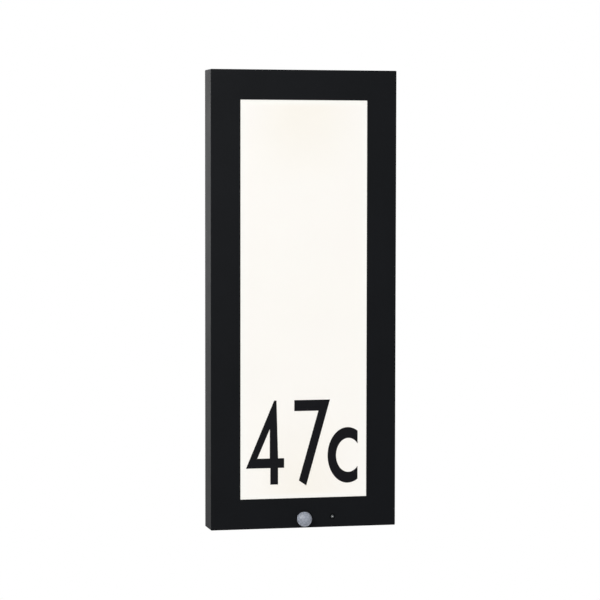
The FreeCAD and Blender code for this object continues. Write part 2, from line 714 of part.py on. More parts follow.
def lies_in_face(edge):
    box = edge.BoundBox
    return box.YLength < 0.001 and abs(box.YMin + size.sign_front.value) < 0.001


front_frame = Solid("front_frame")
front_frame.pad(size.rear_gap, size.sign_front, centred(size.sign_width, size.sign_height))
front_frame.round_edges(size.corner_radius, runs_forward)
front_frame.round_edges(size.edge_radius, lies_in_face)
front_frame.cut(size.rear_gap, face_back, centred(2 * cavity_half_width, 2 * cavity_half_height))
front_frame.cut(face_back, size.sign_front, centred(2 * window_half_width, 2 * window_half_height))
front_frame.pad(ledge_back, ledge_front, centred(2 * cavity_half_width, 2 * cavity_half_height),
                centred(2 * opening_half_width, 2 * opening_half_height))
front_frame.pad(ledge_back, channel_end + size.channel_wall,
                *quarters(channel_near - size.channel_wall, channel_far + size.channel_wall,
                          channel_low - size.channel_wall, cavity_half_height))
front_frame.cut(ledge_back, channel_end,
                *quarters(channel_near, channel_far, channel_low, cavity_half_height))
front_frame.pad(chassis_front, face_back, *discs(boss_places, size.boss_radius))
front_frame.cut(chassis_front, chassis_back + size.chassis_screw_length + size.bore_margin,
                *discs(boss_places, bore_radius))
front_frame.cut(ledge_back, size.cover_level + size.cover_screw_length + size.bore_margin,
                *discs(cover_places, bore_radius))
front_frame.cut(face_back, size.sign_front, disc(length(0), dome_z, size.dome_radius + size.lens_clearance))
front_frame.cut(size.sign_front - size.recess_depth, size.sign_front,
                disc(size.pipe_x, pipe_z, size.recess_radius))
front_frame.cut(face_back, size.sign_front, disc(size.pipe_x, pipe_z, size.pipe_radius + size.lens_clearance))
front_frame.cut(-half_height, -cavity_half_height,
                *discs([(side * grub_x, -size.grub_depth) for side in SIDES],
                       size.grub_radius + size.thread_clearance), plane="XY_Plane")


def grub_screw(side):
    """A headless screw up through the bottom wall, with its socket below."""
    thread = upright_rod(side * grub_x, size.grub_depth, size.grub_radius, -half_height, -cavity_half_height)
    socket = doc.addObject("Part::Prism", "Hexagon")
    socket.Polygon = 6
    bind(socket, Circumradius=size.grub_socket_radius, Height=size.grub_socket_depth)
    bind(socket, x=side * grub_x, y=-size.grub_depth, z=-half_height)
    return less(thread, socket)


group([grub_screw(side) for side in SIDES], "grub_screws")


# ---------------------------------------------------------------- panel and its light

panel_half_width = window_half_width + size.panel_overlap
panel_half_height = window_half_height + size.panel_overlap
guide_half_width = window_half_width + size.guide_overlap
guide_half_height = window_half_height + size.guide_overlap

opal_panel = Solid("opal_panel")
opal_panel.pad(guide_front, flange_front, centred(2 * panel_half_width, 2 * panel_half_height))
opal_panel.pad(flange_front, panel_face,
               centred(2 * (window_half_width - size.panel_clearance),
                       2 * (window_half_height - size.panel_clearance)))

panel_gasket = Solid("panel_gasket")
panel_gasket.pad(flange_front, face_back, centred(2 * panel_half_width, 2 * panel_half_height),
                 centred(2 * window_half_width, 2 * window_half_height))

light_guide = Solid("light_guide")
light_guide.pad(guide_back, guide_front, centred(2 * guide_half_width, 2 * guide_half_height))

reflector_sheet = Solid("reflector_sheet")
reflector_sheet.pad(chassis_front, guide_back, centred(2 * guide_half_width, 2 * guide_half_height))

chassis_plate = Solid("chassis_plate")
chassis_plate.pad(chassis_back, chassis_front, centred(2 * chassis_half_width, 2 * chassis_half_height))
flange_top = strip_top - size.strip_end_margin
chassis_plate.pad(chassis_front, guide_front,
                  *[rectangle(near, far, -flange_top, flange_top)
                    for near, far in ((strip_far, strip_far + size.chassis_thickness),
                                      (-strip_far - size.chassis_thickness, -strip_far))])
chassis_plate.cut(chassis_back, chassis_front, *discs(boss_places, loose_radius),
                  *discs(block_places + clamp_places + ear_places, bore_radius),
                  *discs(sensor_places + [earth_place], bore_radius),
                  *discs([(side * led_lead_x, led_lead_z) for side in SIDES],
                         size.led_lead_radius + size.lead_pass_clearance))

screws("chassis_screws", boss_places, chassis_back, size.chassis_screw_length)

chip_count = int((size.strip_length.value - size.chip_length.value) / size.chip_pitch.value)
chip_middle = (guide_back + guide_front) / 2
for side, name in ((-1, "left"), (1, "right")):
    near, far = (strip_near, strip_far) if side > 0 else (-strip_far, -strip_near)
    keep(block(near, far, -strip_top, strip_top, chassis_front, guide_front), f"led_board_{name}")
    inner = strip_near - size.chip_thickness
    near, far = (inner, strip_near) if side > 0 else (-strip_near, -inner)
    heights = [(index - (chip_count - 1) / 2) * size.chip_pitch for index in range(chip_count)]
    group([block(near, far, height - size.chip_length / 2, height + size.chip_length / 2,
                 chip_middle - size.chip_width / 2, chip_middle + size.chip_width / 2)
           for height in heights], f"led_chips_{name}")


# ---------------------------------------------------------------- figures on the panel

row_width = 2 * window_half_width - size.figures_left - size.figures_right
drawing_scale = row_width / (size.drawn_right - size.drawn_left)


def figure_point(across, up):
    """A point of the figures' drawing, placed on the panel."""
    return (size.figures_left - window_half_width + (across - size.drawn_left) * drawing_scale,
            size.figures_rise - window_half_height + (up - size.figure_bottom) * drawing_scale)


figure_front = panel_face + size.figure_thickness

number_four = Solid("number_four")
number_four.pad(panel_face, figure_front,
                polygon(figure_point(size.four_tip, size.four_bar_bottom),
                        figure_point(size.four_stem_left, size.four_bar_bottom),
                        figure_point(size.four_stem_left, size.figure_bottom),
                        figure_point(size.four_stem_right, size.figure_bottom),
                        figure_point(size.four_stem_right, size.four_bar_bottom),
                        figure_point(size.four_bar_end, size.four_bar_bottom),
                        figure_point(size.four_bar_end, size.four_bar_top),
                        figure_point(size.four_stem_right, size.four_bar_top),
                        figure_point(size.four_head_right, size.figure_top),
                        figure_point(size.four_head_left, size.figure_top)),
                polygon(figure_point(size.four_eye_left, size.four_bar_top),
                        figure_point(size.four_eye_right, size.four_bar_top),
                        figure_point(size.four_eye_right, size.four_eye_top)))

number_seven = Solid("number_seven")
number_seven.pad(panel_face, figure_front,
                 polygon(figure_point(size.seven_left, size.figure_top),
                         figure_point(size.seven_left, size.seven_bar_bottom),
                         figure_point(size.seven_neck, size.seven_bar_bottom),
                         figure_point(size.seven_foot_left, size.seven_foot_left_rise),
                         figure_point(size.seven_foot_right, size.seven_foot_right_rise),
                         figure_point(size.seven_right, size.figure_top)))


def oval(middle_x, oval_half_width, oval_half_height):
    """An upright oval plate on the panel, its long axis along Z."""
    curve = doc.addObject("Part::Ellipse", "Oval")
    curve.Placement.Rotation = FreeCAD.Rotation(Vector(0, 0, 1), Vector(-1, 0, 0), Vector(0, -1, 0), "ZXY")
    bind(curve, MajorRadius=oval_half_height * drawing_scale,
         MinorRadius=oval_half_width * drawing_scale)
    across, up = figure_point(middle_x, size.c_middle_rise)
    bind(curve, x=across, y=-panel_face, z=up)
    plate = doc.addObject("Part::Extrusion", "OvalPlate")
    plate.Base = curve
    plate.DirMode = "Custom"
    plate.Dir = Vector(0, -1, 0)
    plate.Solid = True
    return bind(plate, LengthFwd=size.figure_thickness)


c_end_x, c_bottom = figure_point(size.c_end, size.c_middle_rise - size.c_half_height)
c_top = figure_point(size.c_end, size.c_middle_rise + size.c_half_height)[1]
keep(less(oval(size.c_middle_x, size.c_half_width, size.c_half_height),
          oval(size.c_eye_x, size.c_eye_half_width, size.c_eye_half_height),
          block(c_end_x, c_end_x + 2 * size.c_half_width, c_bottom, c_top, panel_face, figure_front)),
     "letter_c")


# ---------------------------------------------------------------- rear cover

back_cover = Solid("back_cover")
back_cover.pad(size.cover_level, cover_front,
               centred(2 * (cavity_half_width - size.assembly_clearance),
                       2 * (cavity_half_height - size.assembly_clearance)))
back_cover.cut(size.cover_level, cover_front,
               *quarters(channel_near, channel_far, channel_low + size.assembly_clearance, half_height))
back_cover.cut(size.cover_level, cover_front,
               around(size.lid_level, size.lid_opening_width, size.lid_opening_height),
               disc(length(0), size.cable_level, size.grommet_hole_radius),
               *discs(cover_places, loose_radius), *discs(lid_places, bore_radius))

cover_gasket = Solid("cover_gasket")
cover_gasket.pad(cover_front, ledge_back,
                 centred(2 * (opening_half_width + size.cover_gasket_width),
                         2 * (opening_half_height + size.cover_gasket_width)),
                 centred(2 * opening_half_width, 2 * opening_half_height))

screws("cover_screws", cover_places, size.cover_level, size.cover_screw_length)

lid_gasket = Solid("lid_gasket")
lid_gasket.pad(lid_front, size.cover_level, around(size.lid_level, 2 * lid_half_width, 2 * lid_half_height),
               around(size.lid_level, size.lid_opening_width, size.lid_opening_height),
               *discs(lid_places, loose_radius))


def sunk_head(across, up, clearance):
    """A countersunk head whose flat end lies in the lid's rear face."""
    cone = doc.addObject("Part::Cone", "Head")
    cone.Placement.Rotation = FreeCAD.Rotation(Vector(1, 0, 0), 90)
    wide = size.screw_head_radius + clearance
    narrow = size.screw_radius + clearance
    bind(cone, Radius1=wide, Radius2=narrow, Height=size.screw_head_radius - size.screw_radius)
    return bind(cone, x=across, y=-lid_back, z=up)


head_end = lid_back + size.screw_head_radius - size.screw_radius
keep(less(block(-lid_half_width, lid_half_width, size.lid_level - lid_half_height,
                size.lid_level + lid_half_height, lid_back, lid_front),
          *[sunk_head(x, z, size.thread_clearance) for x, z in lid_places],
          *[forward_rod(x, z, bore_radius, head_end, lid_front) for x, z in lid_places]),
     "terminal_lid")
group([less(fused(sunk_head(x, z, length(0)),
                  forward_rod(x, z, size.screw_radius, head_end, head_end + size.lid_screw_length)),
            hexagon(x, z, size.socket_radius, lid_back, lid_back + size.socket_depth))
       for x, z in lid_places], "lid_screws")

keep(less(fused(forward_rod(length(0), size.cable_level, size.grommet_hole_radius - size.thread_clearance,
                            size.cover_level, cover_front),
                forward_rod(length(0), size.cable_level, size.grommet_hole_radius + size.grommet_flange,
                            size.cover_level - size.grommet_lip, size.cover_level),
                forward_rod(length(0), size.cable_level, size.grommet_hole_radius + size.grommet_flange,
                            cover_front, cover_front + size.grommet_lip)),
          forward_rod(length(0), size.cable_level, size.grommet_bore_radius,
                      size.cover_level - size.grommet_lip, cover_front + size.grommet_lip)),
     "cable_grommet")


# ---------------------------------------------------------------- terminals and cable clamp

terminal_block = Solid("terminal_block")
terminal_block.pad(block_back, chassis_back, around(size.block_level, size.block_width, size.block_height))
terminal_block.cut(block_bottom, block_top,
                   *discs([(x, -size.lead_depth) for x in pole_places],
                          size.sleeve_radius + size.thread_clearance), plane="XY_Plane")
pole_screw_places = [(x, size.block_level + end * size.pole_screw_rise) for x in pole_places for end in SIDES]
terminal_block.cut(block_back, size.lead_depth,
                   *discs(pole_screw_places, size.pole_screw_radius + size.thread_clearance))
terminal_block.cut(block_back, chassis_back, *discs(block_places, loose_radius))
terminal_block.cut(block_back, block_seat,
                   *discs(block_places, size.screw_head_radius + size.thread_clearance))

sleeve_bottom = block_bottom + size.sleeve_inset
sleeve_top = block_top - size.sleeve_inset
group([less(upright_rod(x, size.lead_depth, size.sleeve_radius, sleeve_bottom, sleeve_top),
            upright_rod(x, size.lead_depth, size.sleeve_bore_radius, sleeve_bottom, sleeve_top))
       for x in pole_places], "terminal_sleeves")

pole_screw_front = size.lead_depth - size.sleeve_radius
pole_screw_back = pole_screw_front - size.pole_screw_length
group([less(forward_rod(x, z, size.pole_screw_radius, pole_screw_back, pole_screw_front),
            hexagon(x, z, size.socket_radius, pole_screw_back, pole_screw_back + size.socket_depth))
       for x, z in pole_screw_places], "terminal_screws")

sheet_end = chassis_back + size.sheet_screw_length
screws("block_screws", block_places, block_seat, sheet_end - block_seat)

clamp_base = Solid("clamp_base")
clamp_base.pad(clamp_base_back, chassis_back, around(size.clamp_level, size.clamp_width, size.clamp_height),
               *discs(clamp_places, loose_radius))
clamp_bar = Solid("clamp_bar")
clamp_bar.pad(clamp_bar_back, clamp_bar_front, around(size.clamp_level, size.clamp_width, size.clamp_height),
              *discs(clamp_places, loose_radius))
screws("clamp_screws", clamp_places, clamp_bar_back, sheet_end - clamp_bar_back)


# ---------------------------------------------------------------- driver

lead_holes_below = [(-size.driver_lead_spread, size.lead_radius), (size.driver_lead_spread, size.lead_radius),
                    (size.sensor_lead_offset, size.sensor_lead_radius)]
lead_holes_above = [(side * size.driver_lead_spread, size.led_lead_radius) for side in SIDES]

driver_case = Solid("driver_case")
driver_case.pad(driver_case_back, chassis_back,
                rectangle(-driver_half_width, driver_half_width, size.driver_level, driver_top))
driver_case.cut(driver_case_back, driver_floor,
                rectangle(size.driver_wall - driver_half_width, driver_half_width - size.driver_wall,
                          size.driver_level + size.driver_wall, driver_top - size.driver_wall))
driver_case.pad(chassis_back - size.ear_thickness, chassis_back,
                rectangle(-size.ear_width / 2, size.ear_width / 2,
                          size.driver_level - size.ear_length, size.driver_level),
                rectangle(-size.ear_width / 2, size.ear_width / 2, driver_top, driver_top + size.ear_length))
driver_case.cut(chassis_back - size.ear_thickness, chassis_back, *discs(ear_places, loose_radius))
for low, high, holes in ((size.driver_level, size.driver_level + size.driver_wall, lead_holes_below),
                         (driver_top - size.driver_wall, driver_top, lead_holes_above)):
    driver_case.cut(low, high, *[disc(x, -size.lead_depth, radius + size.lead_clearance)
                                 for x, radius in holes], plane="XY_Plane")

keep(block(-driver_half_width, driver_half_width, size.driver_level, driver_top,
           driver_lid_back, driver_case_back), "driver_lid")

circuit_half_width = driver_half_width - size.driver_wall - size.assembly_clearance
keep(block(-circuit_half_width, circuit_half_width, circuit_bottom, circuit_top,
           circuit_back, circuit_front), "driver_board")

# the transformer is a core round a longer coil former
core = block(-size.core_width / 2, size.core_width / 2, driver_middle - size.core_length / 2,
             driver_middle + size.core_length / 2, circuit_back - size.core_height, circuit_back)
former = block(-size.former_width / 2, size.former_width / 2, driver_middle - size.former_length / 2,
               driver_middle + size.former_length / 2, circuit_back - size.former_height, circuit_back)
keep(fused(core, former), "driver_transformer")

capacitor_bottom = circuit_bottom + size.capacitor_rise
capacitor_depth = circuit_back - size.capacitor_radius
capacitor_x = driver_half_width / 2
group([upright_rod(side * capacitor_x, capacitor_depth, size.capacitor_radius, bottom,
                   bottom + size.capacitor_length)
       for side, bottom in ((-1, capacitor_bottom),
                            (1, circuit_top - size.capacitor_rise - size.capacitor_length))],
      "driver_capacitors")

group([block(-size.header_width / 2, size.header_width / 2, bottom, bottom + size.header_length,
             circuit_back - size.header_height, circuit_back)
       for bottom in (circuit_bottom, circuit_top - size.header_length)], "driver_headers")
ear_seat = chassis_back - size.ear_thickness
screws("driver_screws", ear_places, ear_seat, sheet_end - ear_seat)


# ---------------------------------------------------------------- motion and dusk sensors

sensor_board = Solid("sensor_board")
sensor_board.pad(sensor_back, sensor_front,
                 rectangle(size.sensor_board_left, size.sensor_board_right, sensor_bottom, sensor_top),
                 *discs(sensor_places, loose_radius))
group([less(forward_rod(x, z, size.spacer_radius, sensor_front, chassis_back),
            forward_rod(x, z, loose_radius, sensor_front, chassis_back))
       for x, z in sensor_places], "sensor_spacers")
screws("sensor_screws", sensor_places, sensor_back, sheet_end - sensor_back)


def below_flat(radius, low, high):
    """The slice of a round piece at the dome that the frame's bottom wall leaves no room for."""
    return block(-radius, radius, dome_z - radius, flat_z, low, high)


def half_ball(radius):
    """A half ball that bulges forward from the end of the dome's skirt."""
    half = ball(length(0), dome_z, dome_middle, radius)
    half.Placement.Rotation = FreeCAD.Rotation(Vector(1, 0, 0), 90)
    half.Angle1 = 0
    return half


def dome_rod(radius, low, high):
    return forward_rod(length(0), dome_z, radius, low, high)


keep(less(dome_rod(size.holder_radius, sensor_front, dome_flange_back),
          dome_rod(size.holder_bore, sensor_front, dome_flange_back),
          below_flat(size.holder_radius, sensor_front, dome_flange_back)), "pir_holder")

dome_inner = size.dome_radius - size.dome_wall
keep(less(fused(less(dome_rod(size.dome_flange_radius, dome_flange_back, face_back),
                     below_flat(size.dome_flange_radius, dome_flange_back, face_back)),
                dome_rod(size.dome_radius, face_back, dome_middle), half_ball(size.dome_radius)),
          dome_rod(size.dome_flange_bore, dome_flange_back, face_back),
          dome_rod(dome_inner, face_back, dome_middle), half_ball(dome_inner)), "pir_lens")

detector_front = sensor_front + size.detector_height
filter_back = detector_front - size.filter_thickness
filter_sides = (-size.filter_width / 2, size.filter_width / 2,
                dome_z - size.filter_height / 2, dome_z + size.filter_height / 2)
keep(less(dome_rod(size.detector_radius, sensor_front, detector_front),
          block(*filter_sides, filter_back, detector_front)), "pir_detector")
keep(block(*filter_sides, filter_back, detector_front), "pir_filter")

photocell_front = sensor_front + size.photocell_height
keep(forward_rod(size.pipe_x, pipe_z, size.photocell_radius, sensor_front, photocell_front), "photocell")
keep(fused(forward_rod(size.pipe_x, pipe_z, size.pipe_radius, photocell_front + size.assembly_clearance,
                       size.sign_front - size.pipe_setback),
           forward_rod(size.pipe_x, pipe_z, size.pipe_flange_radius,
                       face_back - size.pipe_flange_thickness, face_back)), "light_pipe")

trimmer_half = size.trimmer_size / 2
group([less(block(x - trimmer_half, x + trimmer_half, trimmer_z - trimmer_half, trimmer_z + trimmer_half,
                  trimmer_back, sensor_back),
            forward_rod(x, trimmer_z, size.stem_radius + size.stem_clearance, trimmer_back,
                        trimmer_back + size.stem_length + size.dial_gap))
       for x in trimmer_places], "trimmer_bodies")

dial_front = trimmer_back - size.dial_gap
dial_back = dial_front - size.dial_thickness
for x, name in zip(trimmer_places, ("time_dial", "dusk_dial")):
    slot_half_width = size.dial_slot_width / 2
    keep(less(fused(forward_rod(x, trimmer_z, size.dial_radius, dial_back, dial_front),
                    forward_rod(x, trimmer_z, size.stem_radius, dial_front, trimmer_back + size.stem_length)),
              block(x - slot_half_width, x + slot_half_width, trimmer_z - size.dial_radius,
                    trimmer_z + size.dial_radius, dial_back, dial_back + size.dial_slot_depth)), name)

connector_half = size.connector_width / 2
connector_top = connector_z + size.connector_length / 2
keep(block(size.connector_x - connector_half, size.connector_x + connector_half,
           connector_z - size.connector_length / 2, connector_top,
           sensor_back - size.connector_height, sensor_back), "sensor_connector")


# ---------------------------------------------------------------- earth tag and leads

screws("earth_screw", [earth_place], chassis_back - size.tag_thickness,
       size.sheet_screw_length + size.tag_thickness)
barrel_far = barrel_near + size.barrel_length
eye = less(forward_rod(size.tag_x, size.tag_level, size.tag_radius, chassis_back - size.tag_thickness,
                       chassis_back),
           forward_rod(size.tag_x, size.tag_level, loose_radius, chassis_back - size.tag_thickness,
                       chassis_back))
keep(fused(eye, less(sideways_rod(barrel_near, barrel_far, barrel_depth, size.tag_level, size.barrel_radius),
                     sideways_rod(barrel_near, barrel_far, barrel_depth, size.tag_level,
                                  size.earth_radius + size.thread_clearance))), "earth_tag")

lead_start = sleeve_top - size.sleeve_inset
lead("live_lead", size.lead_radius,
     (-size.pole_pitch, size.lead_depth, lead_start), (-size.pole_pitch, size.lead_depth, 0),
     (-size.driver_lead_spread, size.lead_depth, size.live_lead_turn),
     (-size.driver_lead_spread, size.lead_depth, circuit_bottom))
lead("neutral_lead", size.lead_radius,
     (size.pole_pitch, size.lead_depth, lead_start),
     (size.pole_pitch, size.lead_depth, size.neutral_lead_bend),
     (size.driver_lead_spread, size.lead_depth, size.neutral_lead_turn),
     (size.driver_lead_spread, size.lead_depth, circuit_bottom))
lead("earth_lead", size.earth_radius,
     (length(0), size.lead_depth, lead_start), (length(0), size.lead_depth, -size.earth_lead_bend),
     (-size.earth_rise_x, size.earth_rise_depth, -size.earth_rise_level),
     (-size.earth_crest_x, size.earth_crest_depth, -size.earth_crest_level),
     (size.tag_x + size.earth_lead_run, barrel_depth, size.tag_level),
     (barrel_far - size.barrel_length / 2, barrel_depth, size.tag_level))
lead("sensor_lead", size.sensor_lead_radius,
     (size.connector_x, size.lead_depth, connector_top),
     (size.connector_x, size.lead_depth, connector_top + size.sensor_lead_exit),
     (size.sensor_lead_side, size.lead_depth, connector_top + size.sensor_lead_drift),
     (size.sensor_lead_bulge, size.lead_depth, -size.sensor_bulge_level),
     (size.sensor_lead_side, size.lead_depth, -size.sensor_return_level),
     (size.sensor_approach_x, size.lead_depth, size.driver_level - size.sensor_approach_drop),
     (size.sensor_lead_offset, size.lead_depth, size.driver_level - size.sensor_entry_drop),
     (size.sensor_lead_offset, size.lead_depth, circuit_bottom))
for side, name in ((-1, "left"), (1, "right")):
    lead(f"led_lead_{name}", size.led_lead_radius,
         (side * size.driver_lead_spread, size.lead_depth, circuit_top),
         (side * size.driver_lead_spread, size.lead_depth, driver_top + size.led_lead_exit),
         (side * size.led_near_x, size.lead_depth, size.led_near_level),
         (side * size.led_far_x, size.led_far_depth, size.led_far_level),
         (side * led_lead_x, size.led_end_depth, led_lead_z), (side * led_lead_x, chip_middle, led_lead_z),
         (side * led_lead_x, chip_middle, strip_top))


# ---------------------------------------------------------------- check and write

doc.recompute()
for item in doc.Objects:
    if "Invalid" in item.State or "Error" in item.State:
        raise RuntimeError(f"{item.Label} ({item.Name}) did not build: {item.State}")
for piece in pieces:
    if piece.Shape.isNull() or not piece.Shape.isValid():
        raise RuntimeError(f"{piece.Label} has no valid shape")

os.makedirs("parts", exist_ok=True)
for piece in pieces:
    piece.Shape.exportStep(f"parts/{piece.Label}.step")
    print(f"{piece.Label}: {len(piece.Shape.Solids)} solid(s), {piece.Shape.Volume:.1f} mm3")
print(len(pieces), "pieces")
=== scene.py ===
# %% [markdown]
# An illuminated house number sign: a tall flat box of coated aluminium with a window, an opal panel that
# glows behind it, three black figures stuck on the panel, and a small sensor dome under it. The solid
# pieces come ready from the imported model, in metres, with the wall at y = 0 and the sign facing -y.
# This file gives them their finishes, makes the curved plastic pieces anew, and lights them.

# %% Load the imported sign
import json
import math

import bpy
import numpy as np
from mathutils import Euler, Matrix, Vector


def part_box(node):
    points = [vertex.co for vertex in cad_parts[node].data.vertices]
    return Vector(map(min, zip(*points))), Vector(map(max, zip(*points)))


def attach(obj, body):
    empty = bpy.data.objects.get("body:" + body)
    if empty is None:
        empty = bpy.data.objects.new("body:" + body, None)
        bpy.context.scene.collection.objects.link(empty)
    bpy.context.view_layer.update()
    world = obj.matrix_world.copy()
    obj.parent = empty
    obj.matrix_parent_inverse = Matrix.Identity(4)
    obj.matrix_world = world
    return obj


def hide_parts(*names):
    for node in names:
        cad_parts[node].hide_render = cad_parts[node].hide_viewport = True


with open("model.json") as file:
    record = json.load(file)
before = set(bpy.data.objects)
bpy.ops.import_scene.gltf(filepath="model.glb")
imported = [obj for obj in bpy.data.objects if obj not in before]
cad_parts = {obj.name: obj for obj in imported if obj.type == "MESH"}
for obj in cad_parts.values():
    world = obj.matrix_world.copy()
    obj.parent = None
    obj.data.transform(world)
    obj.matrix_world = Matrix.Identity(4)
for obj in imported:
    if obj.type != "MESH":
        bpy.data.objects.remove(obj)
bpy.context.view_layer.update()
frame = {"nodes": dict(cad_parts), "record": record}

nodes = frame["nodes"]
MM = 0.001

# %% [markdown]
# The photograph was taken from a little to the left of the sign and a little above its middle, with a long
# lens, so that uprights stay nearly parallel. The camera's place and turn come from fitting the sign's four
# front corners. No shift is needed, because the lens pointed almost at the sign's middle.

# %% Camera
camera_data = bpy.data.cameras.new("camera")
camera_data.lens = 145.94
camera_data.sensor_width = 36.0
camera_data.clip_end = 200.0
camera = bpy.data.objects.new("camera", camera_data)
bpy.context.scene.collection.objects.link(camera)
camera.location = (-0.4929, -2.1591, 0.1193)
camera_turn = Euler((math.radians(90 - 3.124), math.radians(-0.083), math.radians(-12.922)))
camera.rotation_euler = camera_turn
bpy.context.scene.camera = camera
bpy.context.scene.view_settings.view_transform = "Standard"
print("camera at", tuple(camera.location))

# %% [markdown]
# Every finish below is a small network of nodes. These helpers add one node at a time: an input is given a
# number, a colour, or another node's output. They keep each network short enough to read as a recipe.

# %% Helpers for node networks
ROW_OF_NODES, NODE_WIDTH, NODE_HEIGHT = 12, 190, 260


def put(tree, kind, values=None, **settings):
    """Adds one shader node. values fills its inputs, by name or number, with a constant or an output."""
    made = tree.nodes.new("ShaderNode" + kind)
    row, column = divmod(len(tree.nodes), ROW_OF_NODES)
    made.location = (NODE_WIDTH * column, -NODE_HEIGHT * row)
    for key, value in settings.items():
        setattr(made, key, value)
    for key, value in (values or {}).items():
        if isinstance(value, bpy.types.NodeSocket):
            tree.links.new(value, made.inputs[key])
        else:
            made.inputs[key].default_value = value
    return made


def sums(tree, operation, a, b=0.0, clamp=False):
    """One arithmetic step on two numbers."""
    return put(tree, "Math", {0: a, 1: b}, operation=operation, use_clamp=clamp).outputs[0]


def spread(tree, value, low, high, to_low=0.0, to_high=1.0, smooth=False):
    """Stretches value from low..high to to_low..to_high, and holds it at the ends."""
    kind = "SMOOTHSTEP" if smooth else "LINEAR"
    return put(tree, "MapRange", {"Value": value, "From Min": low, "From Max": high, "To Min": to_low,
                                  "To Max": to_high}, interpolation_type=kind).outputs[0]


def blended(tree, share, first, second):
    """Mixes two colours: the first at share 0, the second at share 1."""
    return put(tree, "Mix", {0: share, 6: first, 7: second}, data_type="RGBA").outputs[2]


def noise(tree, place, scale, detail=2.0, roughness=0.5):
    """Soft random values from 0 to 1, with scale cells to the metre."""
    return put(tree, "TexNoise", {"Vector": place, "Scale": scale, "Detail": detail,
                                  "Roughness": roughness}).outputs[0]


def colour(red, green, blue):
    """A colour as it looks on the screen, in 0..255, turned into the linear values that the nodes use."""
    shown = np.array([red, green, blue]) / 255
    linear = np.where(shown <= 0.04045, shown / 12.92, ((shown + 0.055) / 1.055) ** 2.4)
    return (*[float(v) for v in linear], 1.0)


def new_group(name, inputs, outputs):
    """An empty node group with named number inputs and outputs, and its two end nodes."""
    tree = bpy.data.node_groups.new(name, "ShaderNodeTree")
    for label, start in inputs.items():
        kind = "NodeSocketVector" if isinstance(start, tuple) else "NodeSocketFloat"
        tree.interface.new_socket(label, in_out="INPUT", socket_type=kind).default_value = start
    for label in outputs:
        tree.interface.new_socket(label, in_out="OUTPUT", socket_type="NodeSocketFloat")
    return tree, tree.nodes.new("NodeGroupInput"), tree.nodes.new("NodeGroupOutput")


# %% [markdown]
# Real surfaces are never one flat colour. Three effects come back in most finishes, so each is a node group
# that is built once. The grain is fine noise for the relief and slow noise for the tone, both on object
# coordinates, and its Stretch input draws the noise out into rolled or brushed lines.

# %% Grain
grain, start, end = new_group("surface grain", {"Scale": 1000.0, "Stretch": (1.0, 1.0, 1.0), "Detail": 2.0,
                                                "Patches": 40.0}, ("Height", "Tone"))
place = put(grain, "TexCoord").outputs["Object"]
drawn = put(grain, "VectorMath", {0: place, 1: start.outputs["Stretch"]}, operation="MULTIPLY").outputs[0]
fine = noise(grain, drawn, start.outputs["Scale"], start.outputs["Detail"])
slow = noise(grain, place, start.outputs["Patches"], 3.0)
grain.links.new(fine, end.inputs["Height"])
tone = sums(grain, "ADD", sums(grain, "MULTIPLY", fine, 0.4), sums(grain, "MULTIPLY", slow, 0.6))
grain.links.new(spread(grain, tone, 0.3, 0.7), end.inputs["Tone"])
print("grain group:", len(grain.nodes), "nodes")

# %% [markdown]
# Edges catch hands, tools and polish first. A rounded normal, taken over a small width, differs from the
# true one only near an edge, and that difference, broken up by noise, is the mask for wear.

# %% Edge wear
wear, start, end = new_group("edge wear", {"Amount": 0.5, "Break": 900.0}, ("Mask",))
rounded = put(wear, "Bevel", {"Radius": 0.5 * MM}, samples=4).outputs[0]
true = put(wear, "NewGeometry").outputs["Normal"]
alike = put(wear, "VectorMath", {0: rounded, 1: true}, operation="DOT_PRODUCT").outputs["Value"]
edge = spread(wear, alike, 0.99, 0.75)
broken = spread(wear, noise(wear, put(wear, "TexCoord").outputs["Object"], start.outputs["Break"], 4.0),
                0.42, 0.62)
mask = sums(wear, "MULTIPLY", sums(wear, "MULTIPLY", edge, broken), start.outputs["Amount"], clamp=True)
wear.links.new(mask, end.inputs["Mask"])
print("edge wear group:", len(wear.nodes), "nodes")

# %% [markdown]
# Dust settles on what faces up. The mask takes the upward part of the surface's normal and breaks it up
# with noise of two sizes, so that a ledge looks lightly and unevenly dusty.

# %% Dust
dust, start, end = new_group("settled dust", {"Amount": 0.2}, ("Mask",))
facing = put(dust, "SeparateXYZ", {0: put(dust, "NewGeometry").outputs["Normal"]}).outputs["Z"]
clouds = noise(dust, put(dust, "TexCoord").outputs["Object"], 160.0, 6.0, 0.65)
mask = sums(dust, "MULTIPLY", spread(dust, facing, 0.4, 0.95), spread(dust, clouds, 0.35, 0.75))
dust.links.new(sums(dust, "MULTIPLY", mask, start.outputs["Amount"]), end.inputs["Mask"])
print("dust group:", len(dust.nodes), "nodes")


# %% [markdown]
# One function writes the recipe that the plain finishes share: two close colours mixed by the tone, a worn
# colour at the edges, dust on top, a roughness that follows the tone, and relief from the grain. What is
# the same all over, such as gloss or metal, is set straight on the shader.

# %% The shared recipe
DUST = colour(150, 146, 138)


def new_material(name):
    """An empty node material with its shader, and the tree that they stand in."""
    material = bpy.data.materials.new(name)
    material.use_nodes = True
    tree = material.node_tree
    return material, tree, tree.nodes["Principled BSDF"]


